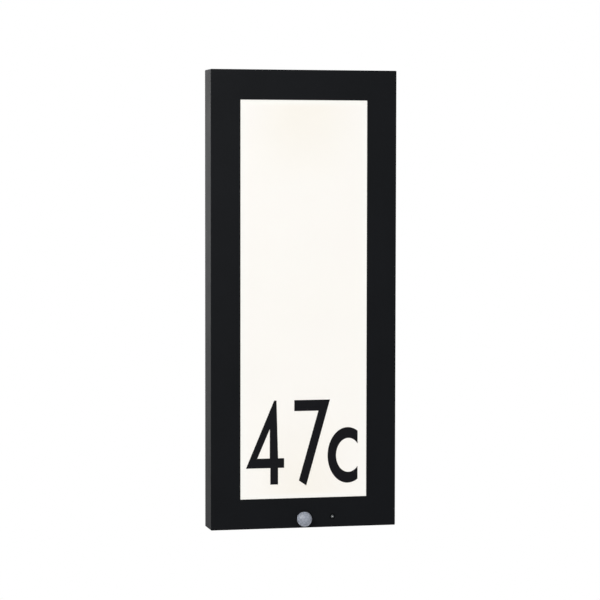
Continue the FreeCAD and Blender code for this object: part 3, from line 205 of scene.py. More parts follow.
def coated(name, light, dark, scale, depth, rough, worn=None, wear_amount=0.0, dusty=0.0, detail=2.0,
           stretch=(1.0, 1.0, 1.0), patches=40.0, **sockets):
    """A material from two colours, a grain of scale cells to the metre and depth metres, and a range of
    roughness. sockets are constants of the shader, with _ for a space in their names."""
    material, tree, shader = new_material(name)
    grained = put(tree, "Group", node_tree=grain)
    for label, value in (("Scale", scale), ("Stretch", stretch), ("Detail", detail), ("Patches", patches)):
        grained.inputs[label].default_value = value
    tint = blended(tree, grained.outputs["Tone"], dark, light)
    rough_now = spread(tree, grained.outputs["Tone"], 0, 1, rough[0], rough[1])
    if worn:
        edges = put(tree, "Group", {"Amount": wear_amount}, node_tree=wear).outputs["Mask"]
        tint = blended(tree, edges, tint, worn)
    if dusty:
        settled = put(tree, "Group", {"Amount": dusty}, node_tree=dust).outputs["Mask"]
        tint = blended(tree, settled, tint, DUST)
        rough_now = sums(tree, "ADD", rough_now, sums(tree, "MULTIPLY", settled, 0.4), clamp=True)
    relief = put(tree, "Bump", {"Height": grained.outputs["Height"], "Distance": depth, "Strength": 1.0})
    tree.links.new(tint, shader.inputs["Base Color"])
    tree.links.new(rough_now, shader.inputs["Roughness"])
    tree.links.new(relief.outputs[0], shader.inputs["Normal"])
    for label, value in sockets.items():
        shader.inputs[label.replace("_", " ")].default_value = value
    return material


# %% [markdown]
# The frame is cast aluminium with a fine satin powder coat in a very dark grey. Powder flows out as it bakes
# and leaves an even, finely pebbled skin with a grain of about four tenths of a millimetre. It's a plain
# plastic skin to the light, so it is not metallic, and its gloss is low.

# %% Frame coat
finishes = {}
finishes["frame_coat"] = coated(
    "satin powder coat", colour(9, 11, 15), colour(5, 7, 10), 2600.0, 0.030 * MM, (0.57, 0.66),
    worn=colour(46, 47, 49), wear_amount=0.25, dusty=0.05, detail=3.0, patches=26.0,
    Specular_IOR_Level=0.075)
print("frame coat:", len(finishes["frame_coat"].node_tree.nodes), "nodes")

# %% [markdown]
# The figures are cut from matt black film, three tenths of a millimetre thick, with a faint leather-like
# skin. Film is a touch glossier than the coat round it, and only its cut edges are a little lighter.

# %% Figure film
finishes["figure_film"] = coated(
    "matt black film", colour(11, 11, 16), colour(7, 7, 12), 5200.0, 0.004 * MM, (0.56, 0.64),
    worn=colour(40, 42, 46), wear_amount=0.3, detail=2.0, patches=60.0, Specular_IOR_Level=0.08)
print("figure film:", len(finishes["figure_film"].node_tree.nodes), "nodes")

# %% [markdown]
# The opal panel is satin white acrylic that light from the chips along its two long sides fills. It glows
# almost evenly: whitest beside the chips and along the rim, a little warmer in the middle of its top and
# bottom. So the glow is a colour that changes over the panel, on object coordinates, and the panel's own
# pale colour adds the rest from the room's light. The values across and upward run from 0 in the window's
# middle to 1 at its edges.

# %% Opal panel
panel, tree, shader = new_material("opal acrylic")
place = put(tree, "TexCoord").outputs["Object"]
parts = put(tree, "SeparateXYZ", {0: place}).outputs
panel_low, panel_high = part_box("opal_panel")
WINDOW_HALF_WIDTH, WINDOW_HALF_HEIGHT = 58.5 * MM, 179.5 * MM
across = sums(tree, "ABSOLUTE", sums(tree, "DIVIDE", parts["X"], WINDOW_HALF_WIDTH))
upward = sums(tree, "ABSOLUTE", sums(tree, "DIVIDE", parts["Z"], WINDOW_HALF_HEIGHT))
warmth = sums(tree, "MULTIPLY", spread(tree, upward, 0.45, 1.0, smooth=True),
              spread(tree, across, 1.0, 0.1, smooth=True))
drift = spread(tree, noise(tree, place, 14.0, 2.0), 0.3, 0.7, -0.12, 0.12)
warmth = sums(tree, "ADD", warmth, drift, clamp=True)
rim = sums(tree, "MAXIMUM", spread(tree, across, 0.84, 0.98, smooth=True),
           spread(tree, upward, 0.965, 0.995, smooth=True))
GLOW, WARM_GLOW, RIM_GLOW = (0.608, 0.588, 0.553, 1), (0.586, 0.553, 0.490, 1), (0.608, 0.602, 0.566, 1)
glow = blended(tree, rim, blended(tree, warmth, GLOW, WARM_GLOW), RIM_GLOW)
tree.links.new(glow, shader.inputs["Emission Color"])
shader.inputs["Emission Strength"].default_value = 1.0
grained = put(tree, "Group", {"Scale": 6500.0, "Patches": 30.0}, node_tree=grain)
body = blended(tree, grained.outputs["Tone"], colour(162, 161, 159), colour(166, 165, 163))
tree.links.new(body, shader.inputs["Base Color"])
tree.links.new(spread(tree, grained.outputs["Tone"], 0, 1, 0.42, 0.5), shader.inputs["Roughness"])
relief = put(tree, "Bump", {"Height": grained.outputs["Height"], "Distance": 0.003 * MM})
tree.links.new(relief.outputs[0], shader.inputs["Normal"])
finishes["opal_acrylic"] = panel
print("panel box in mm:", [round(v / MM, 1) for v in panel_high - panel_low])

# %% [markdown]
# Clear acrylic makes the light guide behind the panel and the little rod that leads daylight to the dusk
# sensor. It is polished, so it's smooth, with only a trace of haze where it was machined.

# %% Clear acrylic
clear, tree, shader = new_material("clear acrylic")
grained = put(tree, "Group", {"Scale": 2400.0, "Stretch": (1.0, 0.1, 1.0)}, node_tree=grain)
tree.links.new(blended(tree, grained.outputs["Tone"], colour(236, 243, 246), colour(246, 250, 251)),
               shader.inputs["Base Color"])
tree.links.new(spread(tree, grained.outputs["Tone"], 0, 1, 0.03, 0.09), shader.inputs["Roughness"])
relief = put(tree, "Bump", {"Height": grained.outputs["Height"], "Distance": 0.002 * MM})
tree.links.new(relief.outputs[0], shader.inputs["Normal"])
shader.inputs["Transmission Weight"].default_value = 0.85
shader.inputs["IOR"].default_value = 1.49
finishes["clear_acrylic"] = clear
print("clear acrylic:", len(clear.node_tree.nodes), "nodes")

# %% [markdown]
# The wall plate is zinc-plated sheet steel. Zinc freezes in flat crystals a few millimetres across, which
# show as patches of slightly different grey with thin borders, over the fine lines of the rolling mill.

# %% Galvanised steel
zinc, tree, shader = new_material("galvanised steel")
place = put(tree, "TexCoord").outputs["Object"]
bent = put(tree, "VectorMath", {0: place, 1: put(tree, "VectorMath", {
    0: put(tree, "TexNoise", {"Vector": place, "Scale": 220.0}).outputs[1], "Scale": 3.0 * MM},
    operation="SCALE").outputs[0]}, operation="ADD").outputs[0]
crystals = put(tree, "TexVoronoi", {"Vector": bent, "Scale": 140.0})
tone = put(tree, "SeparateXYZ", {0: crystals.outputs["Color"]}).outputs["X"]
lines = put(tree, "Group", {"Scale": 900.0, "Stretch": (1.0, 1.0, 0.03), "Patches": 18.0}, node_tree=grain)
edges = put(tree, "Group", {"Amount": 0.6}, node_tree=wear).outputs["Mask"]
settled = put(tree, "Group", {"Amount": 0.35}, node_tree=dust).outputs["Mask"]
tint = blended(tree, tone, colour(165, 168, 172), colour(188, 191, 194))
tint = blended(tree, sums(tree, "MULTIPLY", lines.outputs["Tone"], 0.3), tint, colour(150, 153, 158))
tint = blended(tree, settled, blended(tree, edges, tint, colour(208, 210, 212)), DUST)
tree.links.new(tint, shader.inputs["Base Color"])
rough_now = sums(tree, "ADD", spread(tree, tone, 0, 1, 0.32, 0.46), sums(tree, "MULTIPLY", settled, 0.4))
tree.links.new(rough_now, shader.inputs["Roughness"])
height = sums(tree, "ADD", sums(tree, "MULTIPLY", tone, 0.35), lines.outputs["Height"])
relief = put(tree, "Bump", {"Height": height, "Distance": 0.006 * MM})
tree.links.new(relief.outputs[0], shader.inputs["Normal"])
shader.inputs["Metallic"].default_value = 1.0
finishes["galvanised_steel"] = zinc
print("galvanised steel:", len(zinc.node_tree.nodes), "nodes")

# %% [markdown]
# The other metals follow the shared recipe: stainless screws with turning lines, mill-finish aluminium for
# the chassis with long rolling lines up the sheet, and turned brass in the terminals.

# %% Plain metals
finishes["screw_steel"] = coated(
    "stainless steel", colour(196, 197, 199), colour(172, 173, 176), 2600.0, 0.004 * MM, (0.26, 0.38),
    worn=colour(222, 223, 224), wear_amount=0.6, dusty=0.2, stretch=(1.0, 0.15, 1.0), patches=300.0,
    Metallic=1.0)
finishes["aluminium_sheet"] = coated(
    "mill finish aluminium", colour(206, 208, 210), colour(186, 188, 191), 1500.0, 0.004 * MM, (0.30, 0.42),
    worn=colour(226, 227, 228), wear_amount=0.5, dusty=0.15, stretch=(1.0, 1.0, 0.02), patches=25.0,
    Metallic=1.0)
finishes["brass"] = coated(
    "turned brass", colour(214, 178, 104), colour(184, 146, 80), 2200.0, 0.004 * MM, (0.24, 0.36),
    worn=colour(232, 204, 140), wear_amount=0.5, stretch=(1.0, 1.0, 0.2), patches=200.0, Metallic=1.0)
print("finishes so far:", list(finishes))

# %% [markdown]
# Plastics differ in grain and gloss. The back cover has the fine sparked texture of its mould, small parts
# are smoother, and shrink sleeve, tape and wire insulation are glossy. Rubber is soft and matt, with a
# greyish bloom on it.

# %% Plastics and rubber
# each row: light and dark colour, cells to the metre, relief in mm, roughness, worn colour and amount, dust
PLASTICS = {
    "cover_plastic": ((36, 36, 38), (27, 27, 29), 1700, 0.030, (0.52, 0.66), (58, 58, 60), 0.4, 0.30),
    "black_plastic": ((30, 30, 32), (22, 22, 24), 2600, 0.010, (0.42, 0.54), (52, 52, 54), 0.4, 0.15),
    "white_plastic": ((224, 224, 219), (212, 212, 206), 2600, 0.008, (0.38, 0.50), (236, 236, 232), 0.5, 0.2),
    "dial_white": ((228, 228, 223), (216, 216, 210), 3000, 0.006, (0.34, 0.44), (240, 240, 236), 0.5, 0.0),
    "white_sheet": ((241, 241, 239), (234, 234, 231), 5200, 0.004, (0.70, 0.82), (246, 246, 244), 0.3, 0.0),
    "seal_rubber": ((24, 24, 25), (15, 15, 16), 2000, 0.014, (0.70, 0.86), (44, 44, 45), 0.3, 0.35),
    "winding_yellow": ((206, 164, 54), (190, 146, 42), 900, 0.015, (0.22, 0.34), (218, 182, 90), 0.3, 0.0),
    "capacitor_sleeve": ((32, 32, 54), (24, 24, 42), 1600, 0.006, (0.20, 0.30), (60, 60, 84), 0.4, 0.0),
    "wire_brown": ((78, 42, 22), (64, 32, 16), 1500, 0.010, (0.28, 0.40), (100, 62, 38), 0.2, 0.0),
    "wire_blue": ((28, 66, 146), (18, 50, 124), 1500, 0.010, (0.28, 0.40), (60, 96, 170), 0.2, 0.0),
    "wire_white": ((222, 222, 216), (208, 208, 202), 1500, 0.010, (0.30, 0.42), (234, 234, 230), 0.2, 0.0),
    "wire_grey": ((112, 114, 117), (98, 100, 103), 1500, 0.010, (0.32, 0.44), (134, 136, 138), 0.2, 0.0),
    "sensor_glass": ((34, 25, 28), (24, 17, 20), 800, 0.002, (0.06, 0.12), (50, 40, 44), 0.2, 0.0),
    "cell_orange": ((196, 112, 58), (176, 94, 44), 1800, 0.006, (0.16, 0.26), (212, 140, 92), 0.3, 0.0),
}
for slot, (light, dark, scale, depth, rough, worn, amount, dusty) in PLASTICS.items():
    finishes[slot] = coated(slot.replace("_", " "), colour(*light), colour(*dark), float(scale), depth * MM,
                            rough, worn=colour(*worn), wear_amount=amount, dusty=dusty, patches=70.0)
print("plain finishes so far:", len(finishes))

# %% [markdown]
# A circuit board is glass cloth under a coloured lacquer. Copper tracks under the lacquer show as slightly
# lighter, slightly raised lanes, and the cloth as a fine weave. The boards that carry the light chips have
# the same make with a white lacquer.


# %% Circuit boards
def board_finish(name, field, lane, scale):
    """Lacquer over tracks: the tracks are the borders of squarish cells, with scale cells to the metre."""
    material, tree, shader = new_material(name)
    place = put(tree, "TexCoord").outputs["Object"]
    cells = put(tree, "TexVoronoi", {"Vector": place, "Scale": scale, "Randomness": 0.75},
                feature="F1", distance="CHEBYCHEV")
    rings = sums(tree, "PINGPONG", sums(tree, "MULTIPLY", cells.outputs["Distance"], 1.6), 0.5)
    track = spread(tree, rings, 0.28, 0.33, smooth=True)
    weave = put(tree, "Group", {"Scale": 3000.0, "Stretch": (1.0, 1.0, 0.3)}, node_tree=grain)
    tint = blended(tree, track, field, lane)
    tint = blended(tree, sums(tree, "MULTIPLY", weave.outputs["Tone"], 0.25), tint, field)
    tree.links.new(tint, shader.inputs["Base Color"])
    tree.links.new(spread(tree, weave.outputs["Tone"], 0, 1, 0.28, 0.4), shader.inputs["Roughness"])
    height = sums(tree, "ADD", track, sums(tree, "MULTIPLY", weave.outputs["Height"], 0.2))
    relief = put(tree, "Bump", {"Height": height, "Distance": 0.03 * MM})
    tree.links.new(relief.outputs[0], shader.inputs["Normal"])
    return material


finishes["circuit_green"] = board_finish(
    "green circuit board", colour(16, 66, 40), colour(30, 96, 58), 260.0)
finishes["circuit_white"] = board_finish(
    "white circuit board", colour(226, 226, 222), colour(236, 236, 233), 300.0)
print("circuit board:", len(finishes["circuit_green"].node_tree.nodes), "nodes")

# %% [markdown]
# Each light chip is a pale case with a pool of clear resin over yellow phosphor, and the earth lead is
# green with yellow stripes. Both are small patterns on object coordinates.

# %% Chips and earth lead
chip, tree, shader = new_material("phosphor chip")
pool = spread(tree, noise(tree, put(tree, "TexCoord").outputs["Object"], 420.0, 1.0), 0.40, 0.60)
tree.links.new(blended(tree, pool, colour(232, 208, 110), colour(244, 228, 150)),
               shader.inputs["Base Color"])
tree.links.new(spread(tree, pool, 0, 1, 0.12, 0.3), shader.inputs["Roughness"])
tree.links.new(blended(tree, pool, (0.95, 0.84, 0.55, 1), (1.0, 0.93, 0.74, 1)),
               shader.inputs["Emission Color"])
shader.inputs["Emission Strength"].default_value = 0.6
finishes["chip_yellow"] = chip

earth, tree, shader = new_material("green and yellow insulation")
place = put(tree, "TexCoord").outputs["Object"]
turned_place = put(tree, "Mapping", {"Vector": place, "Rotation": (0.0, math.radians(20), 0.0)}).outputs[0]
bands = put(tree, "TexWave", {"Vector": turned_place, "Scale": 170.0, "Distortion": 0.0})
stripe = spread(tree, bands.outputs["Fac"], 0.55, 0.62)
tree.links.new(blended(tree, stripe, colour(44, 122, 40), colour(222, 196, 38)),
               shader.inputs["Base Color"])
fine = put(tree, "Group", {"Scale": 1500.0}, node_tree=grain)
tree.links.new(spread(tree, fine.outputs["Tone"], 0, 1, 0.28, 0.4), shader.inputs["Roughness"])
relief = put(tree, "Bump", {"Height": fine.outputs["Height"], "Distance": 0.01 * MM})
tree.links.new(relief.outputs[0], shader.inputs["Normal"])
finishes["wire_green"] = earth
print("chip:", len(chip.node_tree.nodes), "nodes, earth lead:", len(earth.node_tree.nodes), "nodes")

# %% [markdown]
# The sensor dome is thin greyish polyethylene, which lets body heat through. It is milky, so light spreads
# a little under its skin, and its gloss is soft. The grooves between its lenses get painted shade, a darker
# colour that stands in for the shade that falls in them, and the dome's mesh carries their depth as an
# attribute that this finish reads.

# %% Sensor dome finish
lens, tree, shader = new_material("sensor polyethylene")
grained = put(tree, "Group", {"Scale": 1800.0, "Patches": 240.0}, node_tree=grain)
groove_shade = put(tree, "Attribute", attribute_name="groove_shade").outputs["Fac"]
milk = blended(tree, grained.outputs["Tone"], colour(149, 154, 166), colour(162, 168, 179))
# painted shade: the deeper the groove, the more the colour goes to a darker grey-blue
tree.links.new(blended(tree, sums(tree, "MULTIPLY", groove_shade, 0.75), milk, colour(112, 117, 128)),
               shader.inputs["Base Color"])
tree.links.new(spread(tree, grained.outputs["Tone"], 0, 1, 0.46, 0.56), shader.inputs["Roughness"])
relief = put(tree, "Bump", {"Height": grained.outputs["Height"], "Distance": 0.006 * MM})
tree.links.new(relief.outputs[0], shader.inputs["Normal"])
for label, value in (("Specular IOR Level", 0.3), ("Subsurface Weight", 0.5),
                     ("Subsurface Scale", 1.5 * MM), ("Subsurface Radius", (1.0, 1.0, 1.0))):
    shader.inputs[label].default_value = value
finishes["sensor_lens"] = lens
print("sensor dome finish:", len(lens.node_tree.nodes), "nodes")

# %% [markdown]
# Each solid piece takes the finish of its material slot in the record. The solids' own shapes are right, so
# they stay as they are, and only their material slots change.

# %% Give every solid piece its finish
slot_of = {part["node"]: part["material_slot"] for part in frame["record"]["subparts"]}
for name, piece in nodes.items():
    for spot in piece.material_slots:
        spot.material = finishes[slot_of[name]]
print("finishes:", len(finishes), "pieces dressed:", sum(len(p.material_slots) for p in nodes.values()))


# %% [markdown]
# Round pieces are turned surfaces: a profile of distances from the axis and heights along it, carried once
# round the axis. The whole surface is a grid of points worked out at once. A solid one closes at its ends in
# one point each, and a ring closes on itself both ways.

# %% Turned surfaces
SECTION = 16


def skin(name, points, faces, body, slot):
    """A smooth mesh object from points and faces, that rides on a body and takes a slot's finish."""
    mesh = bpy.data.meshes.new(name)
    mesh.from_pydata(points.tolist(), [], faces)
    mesh.polygons.foreach_set("use_smooth", np.ones(len(mesh.polygons), bool))
    mesh.materials.append(finishes[slot])
    piece = bpy.data.objects.new(name, mesh)
    bpy.context.scene.collection.objects.link(piece)
    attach(piece, body)
    return piece


def ring(name, inner, outer, level, half_height, centre_x, centre_z, body, slot):
    """A closed ring with an oval section. The section's point at the turn t is at the radius
    (inner + outer) / 2 + (outer - inner) / 2 * cos t and at y = -(level + half_height * sin t). The section
    has SECTION points. outer has one value for each angle round the axis, and inner is one value."""
    around = len(outer)
    angle = np.linspace(0, 2 * np.pi, around, endpoint=False)
    turn = np.linspace(0, 2 * np.pi, SECTION, endpoint=False)[:, None]
    radius = (inner + outer) / 2 + (outer - inner) / 2 * np.cos(turn)
    depth = np.broadcast_to(level + half_height * np.sin(turn), radius.shape)
    points = np.stack([centre_x + radius * np.cos(angle), -depth,
                       centre_z + radius * np.sin(angle)], axis=2)
    row, column = np.arange(SECTION)[:, None] * around, np.arange(around)
    next_row, beside = (row + around) % (SECTION * around), (column + 1) % around
    quads = np.stack([row + column, next_row + column, next_row + beside, row + beside], axis=2)
    return skin(name, points.reshape(-1, 3), quads.reshape(-1, 4).tolist(), body, slot)


def turned(name, radius, height, centre_x, centre_z, around, body, slot):
    """A closed turned piece. Row i of the grid is the circle of radius[i] about the line through
    (centre_x, centre_z) along y, at y = -height[i]; the first and last rows are single points. radius and
    height may also be grids with a column for each angle, for a surface that isn't quite round."""
    angle = np.linspace(0, 2 * np.pi, around, endpoint=False)
    radius, height = (np.broadcast_to(np.asarray(v, float).reshape(len(v), -1), (len(v), around))
                      for v in (radius, height))
    grid = np.stack([centre_x + radius * np.cos(angle), -height, centre_z + radius * np.sin(angle)], axis=2)
    ends = np.stack([grid[0].mean(axis=0), grid[-1].mean(axis=0)])
    points = np.concatenate([grid[1:-1].reshape(-1, 3), ends])
    rows, last = len(grid) - 2, (len(grid) - 2) * around
    column = np.arange(around)
    beside = (column + 1) % around
    row = np.arange(rows - 1)[:, None] * around
    quads = np.stack([row + column, row + beside, row + around + beside, row + around + column], axis=2)
    first_fan = np.stack([np.full(around, last), beside, column], axis=1)
    last_fan = np.stack([np.full(around, last + 1), last - around + column, last - around + beside], axis=1)
    faces = quads.reshape(-1, 4).tolist() + first_fan.tolist() + last_fan.tolist()
    return skin(name, points, faces, body, slot)


def line(start, finish, count):
    """count steps from start towards finish, without finish itself."""
    return np.linspace(start, finish, count, endpoint=False)


# %% [markdown]
# This sensor dome takes the place of the plain solid one. Such a dome is a cap of small lenses in rings,
# each of them slightly bulged, with narrow grooves between, and fine steps inside each lens. It is rather
# more than half a ball, on a short neck with a flange behind the frame's face. The flange has a flat at its
# foot, where it clears the frame's bottom wall. The dome sits a little to the right in its hole and slightly
# low, so that the dark gap is widest at its upper left. Grooves and bulges are true relief on the grid.
# Each row of RINGS has a ring's first and last tilt from the axis, in degrees, and its count of lenses.

# %% Sensor dome: sizes
dome_low, dome_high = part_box("pir_lens")
OFF_RIGHT, OFF_DOWN = 0.35 * MM, 0.15 * MM
DOME_X = (dome_low.x + dome_high.x) / 2 + OFF_RIGHT
DOME_RADIUS, DOME_WALL, FLANGE_RADIUS, FLANGE_EDGE = 6.7 * MM, 0.8 * MM, 9.5 * MM, 0.1 * MM
FIRST_TILT, LAST_TILT, TILTS, INNER_TILTS = 0.6, 108.0, 180, 28
DOME_FRONT = -dome_low.y
DOME_CENTRE = DOME_FRONT - DOME_RADIUS
FACE_BACK, FLANGE_FLAT, HAIR = 26.0 * MM, -204.3 * MM, 0.01 * MM
FLANGE_BACK, FLANGE_FRONT = -dome_high.y, FACE_BACK
DOME_Z = dome_high.z - FLANGE_RADIUS - OFF_DOWN
AROUND = 180
RINGS = ((0.0, 17.0, 1), (17.0, 38.0, 6), (38.0, 60.0, 10), (60.0, 84.0, 12))
GROOVE_DEPTH, GROOVE_POWER, STEP_DEPTH, STEP_PITCH = 0.16 * MM, 6, 0.022 * MM, 5.2
print("dome radius in mm:", round(DOME_RADIUS / MM, 2), "lenses:", sum(count for _, _, count in RINGS))


# %% [markdown]
# The lens cells come from one function of the tilt from the dome's axis and the angle round it. It gives how
# deep the grooves between the cells are. The shallow steps inside the cells depend on the tilt alone.

# %% Sensor dome: lens relief
def lens_relief(tilt, angle):
    """How deep the dome's surface lies under the round ball, from 0 to 1, at a tilt from the axis and an
    angle round it. Each ring of lenses spans a range of tilt and is cut evenly round, and every second ring
    is turned by half a lens. Inside a lens the depth is the distance to its middle, across or along,
    whichever is more, raised to GROOVE_POWER."""
    deep = np.zeros(np.broadcast(tilt, angle).shape)
    for index, (inner, outer, count) in enumerate(RINGS):
        inside = (tilt >= inner) & (tilt < outer)
        over = np.abs(2 * (tilt - inner) / (outer - inner) - 1) if count > 1 else tilt / outer
        turn = (angle / (2 * np.pi) * count + 0.5 * (index % 2)) % 1
        along = np.abs(2 * turn - 1) if count > 1 else 0 * turn
        deep = np.where(inside, np.maximum(over, along) ** GROOVE_POWER, deep)
    return deep


tilt = np.concatenate([[0.0], np.linspace(FIRST_TILT, LAST_TILT, TILTS)])[:, None]
angle = np.linspace(0, 2 * np.pi, AROUND, endpoint=False)[None, :]
deep = lens_relief(tilt, angle)
steps = np.abs((tilt / STEP_PITCH) % 1 - 0.5) * 2 * (tilt < RINGS[-1][1])
ball = DOME_RADIUS - GROOVE_DEPTH * deep - STEP_DEPTH * steps
ball[0] = ball[0].mean()
cap_radius, cap_height = ball * np.sin(np.radians(tilt)), DOME_CENTRE + ball * np.cos(np.radians(tilt))
print("points on the dome's outside:", deep.size, "lowest under the ball in mm:",
      round((DOME_RADIUS - ball.min()) / MM, 3))

# %% [markdown]
# Behind the ball the profile goes on along the neck, out over the flange's front, round its rim, in along its
# back, and up inside the neck to the top of the hollow. So the dome is a closed shell with a real wall.

# %% Sensor dome: neck, flange and inside
INNER = DOME_RADIUS - DOME_WALL
NECK, INNER_NECK = (ball_radius * math.sin(math.radians(LAST_TILT)) for ball_radius in (DOME_RADIUS, INNER))
NECK_FRONT, INNER_FRONT = (DOME_CENTRE + ball_radius * math.cos(math.radians(LAST_TILT))
                           for ball_radius in (DOME_RADIUS, INNER))
inner_tilt = np.radians(np.linspace(LAST_TILT, 0, INNER_TILTS))
FLANGE_RIM = FLANGE_RADIUS - FLANGE_EDGE
rest_radius = np.concatenate([
    line(NECK, NECK, 4), line(NECK, FLANGE_RIM, 4),
    [FLANGE_RIM, FLANGE_RADIUS, FLANGE_RADIUS, FLANGE_RIM],
    line(FLANGE_RIM - FLANGE_EDGE / 2, INNER_NECK, 4), line(INNER_NECK, INNER_NECK, 4),
    INNER * np.sin(inner_tilt)])
rest_height = np.concatenate([
    line(NECK_FRONT, FLANGE_FRONT, 5)[1:], line(FLANGE_FRONT, FLANGE_FRONT, 4),
    [FLANGE_FRONT, FLANGE_FRONT - FLANGE_EDGE, FLANGE_BACK + FLANGE_EDGE, FLANGE_BACK],
    line(FLANGE_BACK, FLANGE_BACK, 4), line(FLANGE_BACK, INNER_FRONT, 4),
    DOME_CENTRE + INNER * np.cos(inner_tilt)])
print("neck radius in mm:", round(NECK / MM, 2), "inside", round(INNER_NECK / MM, 2))

# %% [markdown]
# The two parts of the profile make one turned piece. Behind the face its points under the flat are then
# lifted to the flat, and the depth of the grooves goes into the attribute from which the dome's finish
# paints shade into the grooves.

# %% Sensor dome: mesh
every = np.ones((1, AROUND))
dome = turned("sensor_dome", np.concatenate([cap_radius, rest_radius[:, None] * every]),
              np.concatenate([cap_height, rest_height[:, None] * every]),
              DOME_X, DOME_Z, AROUND, "sign", "sensor_lens")
spots = np.empty(len(dome.data.vertices) * 3)
dome.data.vertices.foreach_get("co", spots)
spots = spots.reshape(-1, 3)
behind_face = -spots[:, 1] < FACE_BACK + HAIR
spots[behind_face, 2] = np.maximum(spots[behind_face, 2], FLANGE_FLAT)
dome.data.vertices.foreach_set("co", spots.ravel())
# the grooves' depth, stored for the painted shade in the dome's finish
groove_shade_depth = np.zeros(len(spots))
groove_shade_depth[:(len(tilt) - 1) * AROUND] = deep[1:].ravel()
dome.data.attributes.new("groove_shade", "FLOAT", "POINT").data.foreach_set("value", groove_shade_depth)
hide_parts("pir_lens")
print("dome faces:", len(dome.data.polygons), "front at", round(DOME_FRONT / MM, 1), "mm")

# %% [markdown]
# A thin black seal lies on the dome's flange and fills the gap round its neck. The hole is round and the
# dome sits off its middle, so the seal's outer edge is the hole's circle as seen from the dome's axis: at
# each angle it is r away from that axis, at the point that is HOLE_RADIUS away from the hole's own axis.

# %% Seal round the dome
HOLE_RADIUS, SEAL_MIDDLE, SEAL_HALF = 7.5 * MM, 26.25 * MM, 0.22 * MM
SEAL_AROUND = 120
seal_angle = np.linspace(0, 2 * np.pi, SEAL_AROUND, endpoint=False)
away = OFF_RIGHT * np.cos(seal_angle) - OFF_DOWN * np.sin(seal_angle)
to_hole = np.sqrt(HOLE_RADIUS ** 2 - OFF_RIGHT ** 2 - OFF_DOWN ** 2 + away ** 2) - away
ring("dome_seal", NECK + 2 * HAIR, to_hole, SEAL_MIDDLE, SEAL_HALF, DOME_X, DOME_Z, "sign", "seal_rubber")
print("seal width in mm:", round((to_hole.min() - NECK) / MM, 2), "to",
      round((to_hole.max() - NECK) / MM, 2))

# %% [markdown]
# The dusk sensor sees daylight through a short rod of clear acrylic, whose polished, domed tip sits at the
# bottom of a round recess. The domed tip is what throws the small bright glint.

# %% Light pipe
pipe_low, pipe_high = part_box("light_pipe")
PIPE_X, PIPE_Z = (pipe_low.x + pipe_high.x) / 2, (pipe_low.z + pipe_high.z) / 2
PIPE_RADIUS, PIPE_FLANGE = 1.5 * MM, (pipe_high.x - pipe_low.x) / 2
PIPE_BACK, PIPE_TIP = -pipe_high.y, -pipe_low.y
TIP_RISE, FLANGE_THICK, PIPE_AROUND = 1.3 * MM, 1.0 * MM, 48
tip = np.linspace(0, 1, 18)
pipe_radius = np.concatenate([
    PIPE_RADIUS * np.sin(tip * np.pi / 2), line(PIPE_RADIUS, PIPE_RADIUS, 5),
    line(PIPE_RADIUS, PIPE_FLANGE, 3), line(PIPE_FLANGE, PIPE_FLANGE, 3), line(PIPE_FLANGE, PIPE_RADIUS, 3),
    line(PIPE_RADIUS, PIPE_RADIUS, 6), line(PIPE_RADIUS, 0, 4), [0.0]])
pipe_height = np.concatenate([
    PIPE_TIP - TIP_RISE * (1 - np.cos(tip * np.pi / 2)), line(PIPE_TIP - TIP_RISE, FACE_BACK, 5),
    line(FACE_BACK, FACE_BACK, 3), line(FACE_BACK, FACE_BACK - FLANGE_THICK, 3),
    line(FACE_BACK - FLANGE_THICK, FACE_BACK - FLANGE_THICK, 3),
    line(FACE_BACK - FLANGE_THICK, PIPE_BACK, 6), line(PIPE_BACK, PIPE_BACK, 4), [PIPE_BACK]])
pipe = turned("dusk_light_pipe", pipe_radius, pipe_height, PIPE_X, PIPE_Z, PIPE_AROUND, "sign",
              "clear_acrylic")
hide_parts("light_pipe")
print("pipe tip at", round(PIPE_TIP / MM, 2), "mm from the wall, flange", round(PIPE_FLANGE / MM, 2), "mm")

# %% [markdown]
# The sign hangs clear of a plain pale floor, as if photographed on a hidden stand. The floor keeps the
# sign's soft shadow near it and runs out to pure white further off, so that no edge shows. Rays from the
# camera, and those mirrored or let through by the pieces, see the white. Diffuse light from the floor is
# that of its paint alone, so the white doesn't light the sign.

# %% Floor
def sees_white(tree):
    """1 for rays from the camera and for mirrored and let-through ones, and 0 for those of diffuse light."""
    seen = put(tree, "LightPath").outputs
    direct = sums(tree, "ADD", seen["Is Camera Ray"], seen["Is Glossy Ray"])
    return sums(tree, "ADD", direct, seen["Is Transmission Ray"], clamp=True)


FLOOR_LEVEL, FLOOR_REACH, FLOOR_CIRCLES, FLOOR_AROUND = -1.25, 60.0, 33, 96
SHADOW_REACH, WHITE_FROM, LEAST_WHITE = 1.6, 3.6, 0.55
circle = FLOOR_REACH * np.linspace(0, 1, FLOOR_CIRCLES) ** 3
angle = np.linspace(0, 2 * np.pi, FLOOR_AROUND, endpoint=False)
level = np.full((FLOOR_CIRCLES, FLOOR_AROUND), FLOOR_LEVEL)
floor_points = np.stack([np.outer(circle, np.cos(angle)), np.outer(circle, np.sin(angle)), level], axis=2)
row = np.arange(FLOOR_CIRCLES - 1)[:, None] * FLOOR_AROUND
column = np.arange(FLOOR_AROUND)
beside = (column + 1) % FLOOR_AROUND
floor_faces = np.stack([row + column, row + FLOOR_AROUND + column, row + FLOOR_AROUND + beside,
                        row + beside], axis=2)
floor_mesh = bpy.data.meshes.new("floor")
floor_mesh.from_pydata(floor_points.reshape(-1, 3).tolist(), [], floor_faces.reshape(-1, 4).tolist())
floor = bpy.data.objects.new("floor", floor_mesh)
bpy.context.scene.collection.objects.link(floor)
paint, tree, shader = new_material("pale floor")
place = put(tree, "TexCoord").outputs["Object"]
cloudy = noise(tree, place, 3.0, 4.0)
tree.links.new(blended(tree, cloudy, colour(226, 226, 226), colour(232, 232, 232)),
               shader.inputs["Base Color"])
shader.inputs["Roughness"].default_value = 0.8
